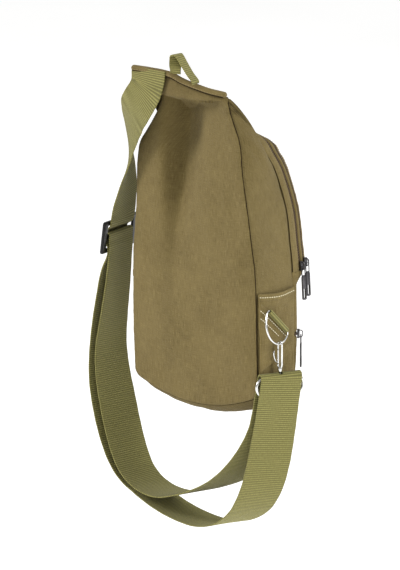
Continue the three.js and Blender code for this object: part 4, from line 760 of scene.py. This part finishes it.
# ---- side pockets, tab and stitching on the sides
def skin(part, height, share, cover):
    """Point and inward direction at a height and a share of the gusset's depth, out by a cover."""
    share = np.clip(share, 0, 1)
    columns = share * GUSSET_COLUMNS
    low = np.minimum(columns.astype(int), GUSSET_COLUMNS - 1)
    t = columns - low
    points, insets = gusset[:-1][part], gusset_in[:-1][part]
    if points[0, 0, 2] > points[-1, 0, 2]:
        points, insets = points[::-1], insets[::-1]
    result = []
    for h, c, f in zip(np.ravel(height), np.ravel(low), np.ravel(t)):
        line = mix(points[:, c], points[:, c + 1], f)
        turn = mix(insets[:, c], insets[:, c + 1], f)
        result.append([np.interp(h, line[:, 2], line[:, k]) for k in (0, 1)] + [h]
                      + [np.interp(h, line[:, 2], turn[:, k]) for k in range(3)])
    result = np.array(result).reshape(np.shape(height) + (6,))
    inset = unit(result[..., 3:])
    return result[..., :3] - inset * cover, inset


POCKET_COVER = GAP + SIDE_CLOTH + GAP
POCKET_ROWS = np.concatenate([np.linspace(CORNER_HEIGHT + SIDE_CLOTH, SIDE_POCKET_TOP - 8, 50),
                              np.linspace(SIDE_POCKET_TOP - 7.6, SIDE_POCKET_TOP, 16)])
pale, own = [], []
for name, part in (("right", RIGHT), ("left", LEFT)):
    z, share = np.meshgrid(POCKET_ROWS, np.linspace(0.03, 0.97, 31), indexing="ij")
    sag = 2.4 * np.sin(np.pi * share) * smooth((z - 60) / 50)
    grid, inset = skin(part, z - sag, share, POCKET_COVER)
    edge = np.minimum(share, 1 - share) * 58
    hem = 0.9 * smooth((z - SIDE_POCKET_TOP + 7.6) / 0.9)
    loose = 1.2 * np.sin(np.pi * share) * smooth((z - 70) / 44)
    dents = (0.9 * ruffle(grid, (22, 16, 20), 6.6) + 0.4 * ruffle(grid, (8, 8, 9), 1.1)) * smooth(edge / 8)
    shaped = grid - inset * (hem + loose + dents * 0.8)[..., None]
    wall("side_pocket_%s_cloth" % name, shaped, inset, SIDE_CLOTH, canvas, node="side_pocket_%s" % name)
    pale.append(stitch_line(shaped[-8, 1:-1], -inset[-8, 1:-1], PALE_STITCH))

TAB_COVER = GAP + SIDE_CLOTH + 2 * GAP + CANVAS + 0.2


def side_spot(y, z, cover):
    low, high = (skin(RIGHT, z, np.full(np.shape(z), share), 0)[0][..., 1] for share in (0.02, 0.98))
    return skin(RIGHT, z, mix(0.02, 0.98, np.clip((y - low) / (high - low), 0, 1)), cover)


def tab_spot(rise, along, cover=TAB_COVER):
    z = mix(mix(TAB_BOTTOM, TAB_TOP, rise), TAB_TIP_HEIGHT, along * TAB_TIP_SHARE)
    return side_spot(BACK_Y + CANVAS + 1 + TAB_REACH * along * TAB_TIP_SHARE, z, cover)


rise, along_tab = np.meshgrid(np.linspace(0, 1, 31), np.linspace(0, 1, 25), indexing="ij")
tab, tab_in = tab_spot(rise, along_tab)
hem = 0.7 * smooth((np.abs(rise - 0.5) * 2 * mix(1.0, 0.06, along_tab) - mix(1.0, 0.06, along_tab) + 0.16) / 0.03)
dents = 0.7 * ruffle(tab, (14, 11, 12), 8.8)
tab_shaped = tab - tab_in * (hem + dents * smooth(np.minimum(rise, 1 - rise) * 6) + 0.4)[..., None]
wall("side_tab_cloth", tab_shaped, tab_in, CANVAS, canvas, node="side_tab")
for below, end in ((8, 0.72), (16.5, 0.5)):
    t = np.linspace(0.03, end, 60)
    spots, out = tab_spot(1 - below / ((TAB_TOP - TAB_BOTTOM) * (1 - TAB_TIP_SHARE * t)), t, TAB_COVER + 1.2)
    pale.append(stitch_line(spots, -out, PALE_STITCH))

# ---- ring, hook and eye
RING_COVER = TAB_COVER + GAP + WEBBING + GAP + RING_WIRE / 2
ring_x = side_spot(np.array([RING_Y]), np.array([RING_Z]), RING_COVER)[0][0, 0]
RING_CENTRE = np.array([ring_x, RING_Y, RING_Z])
ring_along = np.array([0, math.cos(RING_TURN), -math.sin(RING_TURN)])
ring_out = np.array([math.sin(RING_TILT), -math.sin(RING_TURN) * math.cos(RING_TILT),
                     -math.cos(RING_TURN) * math.cos(RING_TILT)])
ring_across = np.cross(ring_along, ring_out)


def ring_spot(a, b):
    return RING_CENTRE + ring_along * a + ring_out * b


def ring_bow(t):
    return ring_spot(RING_HALF_WIDTH * math.cos(t), RING_CORNER + (RING_DEPTH - RING_CORNER) * math.sin(t))


def wire(name, path, across, diameter, sides=16, **options):
    sweep(name, path, across, disc(diameter, sides), steel, slot="steel", **options)


ring_path = [ring_spot((RING_HALF_WIDTH - RING_CORNER) * s, 0) for s in (-1, -0.5, 0, 0.5, 1)]
ring_path.append(ring_spot(RING_HALF_WIDTH - RING_CORNER * 0.3, RING_CORNER * 0.3))
ring_path += [ring_bow(t) for t in np.linspace(0, math.pi, 17)]
ring_path.append(ring_spot(-RING_HALF_WIDTH + RING_CORNER * 0.3, RING_CORNER * 0.3))
ring_path = dense(ring_path, 0.9, closed=True)
wire("ring_wire", ring_path, ring_across, RING_WIRE - RING_SLIM, closed=True, node="d_ring")

sleeve_radius = RING_WIRE / 2 + GAP + WEBBING / 2
turn = np.linspace(0, 2 * np.pi, 48, endpoint=False)[:, None]
sleeve = RING_CENTRE + ring_out * sleeve_radius * np.cos(turn) + ring_across * sleeve_radius * np.sin(turn)
band = np.array([
    (-1, -0.35), (-0.97, -0.75), (-0.5, -0.75), (0, -0.75), (0.5, -0.75), (0.97, -0.75), (1, -0.35),
    (1, 0.35), (0.97, 0.72), (0.5, 0.75), (0, 0.75), (-0.5, 0.75), (-0.97, 0.72), (-1, 0.35)])
sweep("ring_sleeve", sleeve, ring_along, band * (RING_SLEEVE / 2, WEBBING / 1.5), webbing, closed=True,
      node="d_ring_sleeve", flat_uv=True)

low_turn = math.atan2((RING_DEPTH - RING_CORNER) * -ring_out[2], RING_HALF_WIDTH * -ring_along[2])
HOOK_TOP = ring_bow(low_turn)
rod_off = (HOOK_GAP + HOOK_ROD) / 2
bend_z = RING_WIRE / 2 + GAP - HOOK_GAP / 2
gate_foot = -NOSE_LENGTH - GAP - GATE_LENGTH
hook_path = [(-rod_off, 0, -NOSE_LENGTH)]
hook_path += [(rod_off * math.cos(t), 0, bend_z + rod_off * math.sin(t)) for t in np.linspace(math.pi, 0, 9)]
hook_path += [(rod_off, 0, gate_foot + 3), (rod_off, 0, gate_foot - 1), (rod_off * 0.6, 0, gate_foot - 3.5),
              (-rod_off * 0.4, 0, gate_foot - 4.2), (-rod_off, 0, gate_foot - 2.6), (-rod_off, 0, gate_foot - GAP)]
hook_path = dense([HOOK_TOP + np.array(p) for p in hook_path], 0.7)
wire("hook_wire", hook_path, (0, 1, 0), HOOK_ROD - HOOK_SLIM, node="hook_body", body="hook")


def turned(name, profile, sides=24, **options):
    """Steel piece turned about the clip's axis: radius and height of each step."""
    turn = 2 * np.pi * np.arange(sides) / sides
    radius, height = np.array(profile, float).T
    points = np.stack([np.outer(radius, np.cos(turn)), np.outer(radius, np.sin(turn)),
                       np.repeat(height[:, None], sides, 1)], -1) + HOOK_TOP
    faces = [[i * sides + k, i * sides + (k + 1) % sides, (i + 1) * sides + (k + 1) % sides, (i + 1) * sides + k]
             for i in range(len(profile) - 1) for k in range(sides)]
    flat = points.reshape(-1, 3)
    face_out(make(name, place(flat), faces, flat[:, [0, 2]] / 1000, steel, slot="steel", **options))


stem_top = gate_foot - 3
boss_top, boss_foot = -HOOK_LENGTH + EYE_BOSS_HEIGHT / 2, -HOOK_LENGTH - EYE_BOSS_HEIGHT / 2
turned("hook_stem", [(0.01, stem_top + 0.3), (STEM * 0.8, stem_top + 0.2), (STEM, stem_top - 0.6),
                     (STEM, boss_top + 4), (STEM * 0.85, boss_top + 3.5), (STEM / 2, boss_top + 3.3),
                      (STEM / 2, boss_foot - GAP), (STEM * 0.9, boss_foot - GAP - 0.1),
                     (STEM * 0.9, boss_foot - GAP - 1.2), (STEM * 0.5, boss_foot - GAP - 1.6),
                     (0.01, boss_foot - GAP - 1.7)],
       body="hook")
gate = [HOOK_TOP + np.array((-rod_off, 0, gate_foot + GATE_LENGTH * s)) for s in (0, 0.5, 1)]
wire("gate_rod", dense(gate, 1.5), (0, 1, 0), GATE_ROD, node="hook_gate", body="gate")
lever = [HOOK_TOP + np.array((-rod_off, y, gate_foot + z))
         for y, z in ((0, 1.6), (-3.4, 3), (-5.6, 7), (-6.8, 12.5), (-6, 15))]
wire("gate_lever", dense(lever, 0.6), (1, 0, 0), 1.3, 12, body="gate")

strap_turn = math.radians(STRAP_TURN)
eye_along = np.array([math.cos(strap_turn), math.sin(strap_turn), 0])
eye_out = np.array([-eye_along[1], eye_along[0], 0])
EYE_TOP = HOOK_TOP + np.array([0, 0, -HOOK_LENGTH])
eye_round = EYE_HEIGHT / 2
eye_straight = EYE_HALF_WIDTH - eye_round
eye_path = []
for start_angle, side in ((90, 1), (-90, -1)):
    for share in (-1, -0.5, 0, 0.5):
        eye_path.append(EYE_TOP + eye_along * side * share * eye_straight - (0, 0, 0 if side > 0 else EYE_HEIGHT))
    for k in range(6):
        t = math.radians(start_angle - 180 * k / 6)
        eye_path.append(EYE_TOP + eye_along * (side * eye_straight + eye_round * math.cos(t))
                        - (0, 0, eye_round * (1 - math.sin(t))))
wire("eye_wire", dense(eye_path, 1.0, closed=True), eye_out, EYE_WIRE, closed=True, node="hook_eye")
turned("eye_boss", [(STEM / 2 + GAP, boss_foot), (EYE_BOSS / 2 - 0.4, boss_foot), (EYE_BOSS / 2, boss_foot + 0.4),
                    (EYE_BOSS / 2, boss_top - 0.4), (EYE_BOSS / 2 - 0.4, boss_top), (STEM / 2 + GAP, boss_top),
                    (STEM / 2 + GAP, boss_foot)])

# ---- strap: side, out, rise and turn of each run, then its way through the slider
UPPER_RUN = [
    (-0.36, 1.52, 2.252, 0), (-0.361, 1.555, 2.17, -1), (-0.37, 1.59, 2.12, -3), (-0.405, 1.62, 2.055, -6),
    (-0.465, 1.6, 1.985, -11), (-0.54, 1.5, 1.915, -18), (-0.61, 1.32, 1.83, -26), (-0.68, 1.08, 1.71, -36),
    (-0.73, 0.88, 1.57, -47), (-0.765, 0.77, 1.45, -59), (-0.8, 0.71, 1.31, -69), (-0.835, 0.69, 1.18, -75)]
OUTER_RUN = [
    (-0.945, 0.72, 0.72, -78), (-0.985, 0.74, 0.52, -81), (-1.007, 0.77, 0.33, -85), (-1.016, 0.8, 0.09, -90),
    (-1.002, 0.81, -0.08, -94), (-0.965, 0.81, -0.24, -97), (-0.886, 0.8, -0.47, -98), (-0.793, 0.78, -0.65, -96),
    (-0.69, 0.74, -0.765, -94), (-0.56, 0.71, -0.84, -92), (-0.37, 0.67, -0.92, -92), (-0.14, 0.61, -0.98, -94),
    (0.09, 0.56, -1, -98), (0.29, 0.5, -0.96, -104), (0.46, 0.47, -0.855, -110), (0.575, 0.46, -0.7, -114),
    (0.65, 0.45, -0.51, -115), (0.705, 0.45, -0.3, -113), (0.755, 0.46, -0.08, -109)]
INNER_RUN = [
    (0.705, 0.46, -0.09, -108), (0.662, 0.46, -0.24, -112), (0.56, 0.47, -0.4, -114), (0.41, 0.5, -0.55, -112),
    (0.23, 0.56, -0.67, -106), (0.035, 0.63, -0.755, -101), (-0.145, 0.69, -0.81, -97), (-0.29, 0.72, -0.838, -95),
    (-0.43, 0.75, -0.83, -94), (-0.57, 0.77, -0.785, -93), (-0.68, 0.78, -0.705, -94), (-0.757, 0.78, -0.59, -96),
    (-0.822, 0.78, -0.44, -97), (-0.886, 0.78, -0.24, -97), (-0.94, 0.79, -0.02, -93), (-0.957, 0.78, 0.16, -88),
    (-0.935, 0.75, 0.36, -83), (-0.9, 0.72, 0.6, -79)]


def run(rows):
    return [np.array(row) * (STRAP_SPREAD, BACK_Y, STRAP_DROP, 1) for row in rows]


glide_turn = math.radians(GLIDE_TURN)
glide_across = np.array([math.cos(glide_turn), math.sin(glide_turn), 0])
glide_face = np.array([-glide_across[1], glide_across[0], 0])
glide_down = np.array([0, 0, -math.cos(GLIDE_LEAN)]) - glide_face * math.sin(GLIDE_LEAN)
glide_out = unit(np.cross(glide_across, glide_down))
bar_face = GLIDE_THICKNESS / 2 + GAP + WEBBING / 2
wrap_out = GLIDE_THICKNESS / 2 + GAP * 1.8 + WEBBING / 2
behind = wrap_out + WEBBING + GAP * 1.5
sewn = bar_face + WEBBING + GAP
near, far = GLIDE_MIDDLE_BAR / 2, GLIDE_MIDDLE_BAR / 2 + GLIDE_SLOT
half_height = far + GLIDE_BAR


def glide_spots(pairs):
    return [np.append(np.array(GLIDE_SPOT) + glide_down * low + glide_out * out, GLIDE_TURN) for low, out in pairs]


threading = glide_spots([
    (-half_height - 2, bar_face + 0.3), (-far - 1, bar_face), (-far + 1.4, bar_face * 0.8),
    (-far + 4.6, -bar_face * 0.4), (-near - 4.1, -behind * 0.84), (-near - 2.4, -behind), (0, -behind),
    (near + 2.4, -behind), (near + 4.1, -behind * 0.84), (far - 4.6, -bar_face * 0.4),
    (far - 1.4, bar_face * 0.8), (far + 1, bar_face), (half_height + 2, bar_face)])
wrap = glide_spots([
    (half_height + 4, sewn + 0.3), (far + 1, sewn), (far - 2, sewn), (near + 5, sewn * 0.8),
    (near + 2, wrap_out + 0.2), (-near, wrap_out), (-near - 1.6, wrap_out * 0.68), (-near - 2, 0),
    (-near - 1.6, -wrap_out * 0.68), (-near, -wrap_out), (near + 1.2, -wrap_out)])
fold = [np.append(EYE_TOP + eye_out * FOLD_RADIUS * math.cos(t) + (0, 0, FOLD_RADIUS * math.sin(t)), STRAP_TURN)
        for t in np.linspace(0, math.pi, 9)]
route = run(UPPER_RUN) + threading + run(OUTER_RUN) + fold + run(INNER_RUN) + wrap
strap_line = even(dense(route, 3.0), 0.62)
turn = strap_line[:, 3]
for _ in range(6):
    turn = np.convolve(np.pad(turn, 6, mode="edge"), np.ones(13) / 13, mode="valid")
turn = np.radians(turn)
columns = np.array([-1, -0.985, -0.94, -0.8, -0.6, -0.4, -0.2, -0.09, 0.09, 0.2, 0.4, 0.6, 0.8, 0.94, 0.985, 1])
half = WEBBING / 2 * np.array([0.45, 0.8, 0.9] + [1] * 10 + [0.9, 0.8, 0.45])


def along_line(line):
    """Distance from the start of each point of a path with an even step."""
    return np.arange(len(line)) * np.linalg.norm(line[1, :3] - line[0, :3])


def ribbed(line, width, depth, wave=1.0):
    """The webbing's outline at each point of a path, thinner between its ribs."""
    rib = depth * (1 - np.cos(2 * np.pi * along_line(line) / RIB_PITCH))
    top = half[None] - rib[:, None] * (np.abs(columns) < 0.95)
    side = np.broadcast_to(columns * width / 2 * wave, top.shape)
    return np.concatenate([np.stack([side, -top], -1), np.stack([side, top], -1)[:, ::-1]], 1)


wave = 1 + 0.004 * np.sin(along_line(strap_line) / 3.1)[:, None] * (np.abs(columns) > 0.9)
profile = ribbed(strap_line, STRAP_WIDTH, 0.11, wave)
slit_rows = (np.linalg.norm(strap_line[:, :3] - (EYE_TOP + (0, 0, FOLD_RADIUS)), axis=1) < 3.2)
skip = np.zeros((len(strap_line), profile.shape[1]), bool)
skip[np.ix_(slit_rows, [7, len(columns) * 2 - 9])] = True
sweep("strap_webbing", strap_line[:, :3], level(turn), profile, webbing, skip=skip, node="strap", flat_uv=True)
cad_copy("strap_slider", plastic, bevel=1.0)

# ---- top seam roll and hanging loop
share = np.linspace(0, 1, 150)
roll = seam_point(share) + (0, 0, BINDING_RISE + BINDING_HEIGHT / 2 - ROLL_DROP)
sides = 24
turn = 2 * np.pi * (np.arange(sides) + 0.5) / sides
lump = 1 + 0.05 * np.array([[noise.noise(Vector((s * 9, 2.2 * math.cos(t), 2.2 * math.sin(t)))) for t in turn]
                            for s in share])
overlap = 1 + 0.07 * np.exp(-((((turn - 1.1) % (2 * np.pi)) / 0.35) ** 2))
shape = np.stack([np.cos(turn) * BINDING_THICKNESS / 2 * lump * overlap,
                  np.sin(turn) * BINDING_HEIGHT * ROLL_FULLNESS * lump * overlap], -1)
from_end = np.minimum(np.arange(len(share)), np.arange(len(share))[::-1]) * np.linalg.norm(roll[1] - roll[0])
shape *= np.sqrt(np.clip(1 - (1 - from_end / 3) ** 2 * (from_end < 3), 0.04, 1))[:, None, None]
sweep("top_roll", roll, (0, 1, 0), shape, canvas, node="top_binding")
under_roll = roll[3:-3] + (0, -BINDING_THICKNESS * 0.34, -BINDING_HEIGHT / 2 - 0.1)
cord("seam_roll", under_roll, ROLL_CORD)
roll_line = roll[4:-4] + np.array([0, -BINDING_THICKNESS / 2 * 0.98, -BINDING_HEIGHT * 0.14])
own.append(stitch_line(roll_line, np.broadcast_to((0, -1.0, -0.2), roll_line.shape), ROLL_STITCH))

# share of the seam, lift, and how far the foot's end goes down again
LOOP_FEET = ((0.5, 3, 2.6), (0.71, 0.3, 0.8))
loop_feet = [seam_point(s) + (0, 0, BINDING_RISE + BINDING_HEIGHT + GAP + lift) for s, lift, _ in LOOP_FEET]
loop_top = mix(loop_feet[0], loop_feet[1], 0.1)
loop_top[2] = loop_feet[0][2] + LOOP_RISE
# foot, climb and turn in degrees
LOOP_ROUTE = [(0, 0, 15), (0, 0.3, 35), (0, 0.65, 62), (0, 0.88, 80), (0.5, 1, 90),
              (1, 0.88, 95), (1, 0.65, 99), (1, 0.3, 101), (1, 0, 101)]
loop = []
for foot, climb, angle in LOOP_ROUTE:
    apex = loop_top + ((foot - 0.5) * 7, 0, -2 if climb < 1 else 0)
    spot = apex if foot == 0.5 else mix(loop_feet[int(round(foot))], apex, min(1, climb / 0.88))
    loop.append(np.append(spot, angle))
for end, (_, _, drop) in zip((0, -1), LOOP_FEET):
    foot = loop[end] - (0, 0, drop, 0)
    loop[end][2] += WEBBING
    loop.insert(0 if end == 0 else len(loop), foot)
loop = even(dense(loop, 1.0), 0.5)
sweep("hang_loop_webbing", loop[:, :3], level(np.radians(loop[:, 3])), ribbed(loop, LOOP_WIDTH, 0.1), webbing,
      node="hang_loop", flat_uv=True)

# ---- zip sliders and pulls
for name in ("main", "front", "pocket"):
    cad_copy("slider_" + name, gunmetal, bevel=0.3)
    cad_copy("pull_" + name, gunmetal, body=name + "_pull", bevel=0.25)

# ---- stitching
own.append(stitch_line(lane(BAND_WIDTH - 1.8) - arch_inset * 0.25, -arch_inset, CLOTH_STITCH))
for column in (-3, 2):
    out = -front_in[3:, column]
    own.append(stitch_line(front_worn[3:, column] + out * 0.1, out, CLOTH_STITCH))
for height in (ZIP_HIGH + 2.4, ZIP_LOW - 2.4):
    line = pocket_point(np.linspace(0.01, 0.99, 300), np.full(300, height))
    out = forward(line)
    own.append(stitch_line(line + out * 0.2, out, CLOTH_STITCH))
threads("pale_stitches", pale, pale_thread, 2.4, 0.46, lift=0.15)
threads("cloth_stitches", own, canvas_thread, 2.2, 0.3, lift=0.05)

# ---- stage, light and camera
def area(name, spot, target, size, power, colour=(1, 1, 1)):
    light = bpy.data.lights.new(name, "AREA")
    light.shape = "RECTANGLE"
    light.size, light.size_y = size
    light.energy = power
    light.color = colour
    obj = bpy.data.objects.new(name, light)
    bpy.context.collection.objects.link(obj)
    obj.location = spot
    obj.rotation_euler = (Vector(target) - Vector(spot)).to_track_quat("-Z", "Y").to_euler()


AZIMUTH, ELEVATION, DISTANCE = math.radians(44), math.radians(12), 12.0
right = np.array([math.cos(AZIMUTH), math.sin(AZIMUTH), 0])
toward = np.array([math.sin(AZIMUTH) * math.cos(ELEVATION), -math.cos(AZIMUTH) * math.cos(ELEVATION),
                   math.sin(ELEVATION)])
above = np.cross(toward, right)
MM_PER_PIXEL, PHOTO_HEIGHT, SENSOR = 1.08, 570, 24
target = place(right * -19.0 + above * 103.4 + toward * 38)
camera_data = bpy.data.cameras.new("camera")
camera_data.sensor_fit = "VERTICAL"
camera_data.sensor_height = SENSOR
camera_data.lens = SENSOR * DISTANCE / (MM_PER_PIXEL * PHOTO_HEIGHT / 1000)
camera_data.clip_end = 50
camera = bpy.data.objects.new("camera", camera_data)
camera.location = target + toward * DISTANCE
camera.rotation_euler = Matrix((right, above, toward)).transposed().to_euler()
bpy.context.collection.objects.link(camera)
bpy.context.scene.camera = camera

floor_look = Look("floor", linear(244, 244, 243), 0.9)
floor_grain = floor_look.noise(floor_look.object, (3, 3, 3), 2)
floor_look.to("Base Color", floor_look.blend(floor_look.span(floor_grain, 0.3, 0.7), linear(242, 242, 241),
                                             linear(247, 247, 246)))
floor_look.shader.inputs["Emission Color"].default_value = (1, 1, 1, 1)
floor_look.shader.inputs["Emission Strength"].default_value = 0.42
floor = bpy.data.meshes.new("floor")
floor.from_pydata([(-30, -30, 0), (30, -30, 0), (30, 30, 0), (-30, 30, 0)], [], [(0, 1, 2, 3)])
floor = bpy.data.objects.new("floor", floor)
floor.location = (0, 0, -0.75)
floor.data.materials.append(floor_look.material)
bpy.context.collection.objects.link(floor)

middle = Vector(place((0, 0, 120)))
area("key", middle + Vector((-2.0, -2.2, 1.7)), middle, (1.2, 1.2), 96, (1, 0.985, 0.96))
area("side", middle + Vector((2.7, 0.6, 1.5)), middle, (1.2, 1.6), 68, (0.98, 0.99, 1))
area("back", middle + Vector((0.4, 2.4, 1.6)), middle, (2.0, 1.6), 14)
world = bpy.data.worlds.new("studio")
world.use_nodes = True
world.node_tree.nodes["Background"].inputs[0].default_value = (1, 1, 1, 1)
world.node_tree.nodes["Background"].inputs[1].default_value = 0.5
bpy.context.scene.world = world
bpy.context.scene.view_settings.view_transform = "Standard"
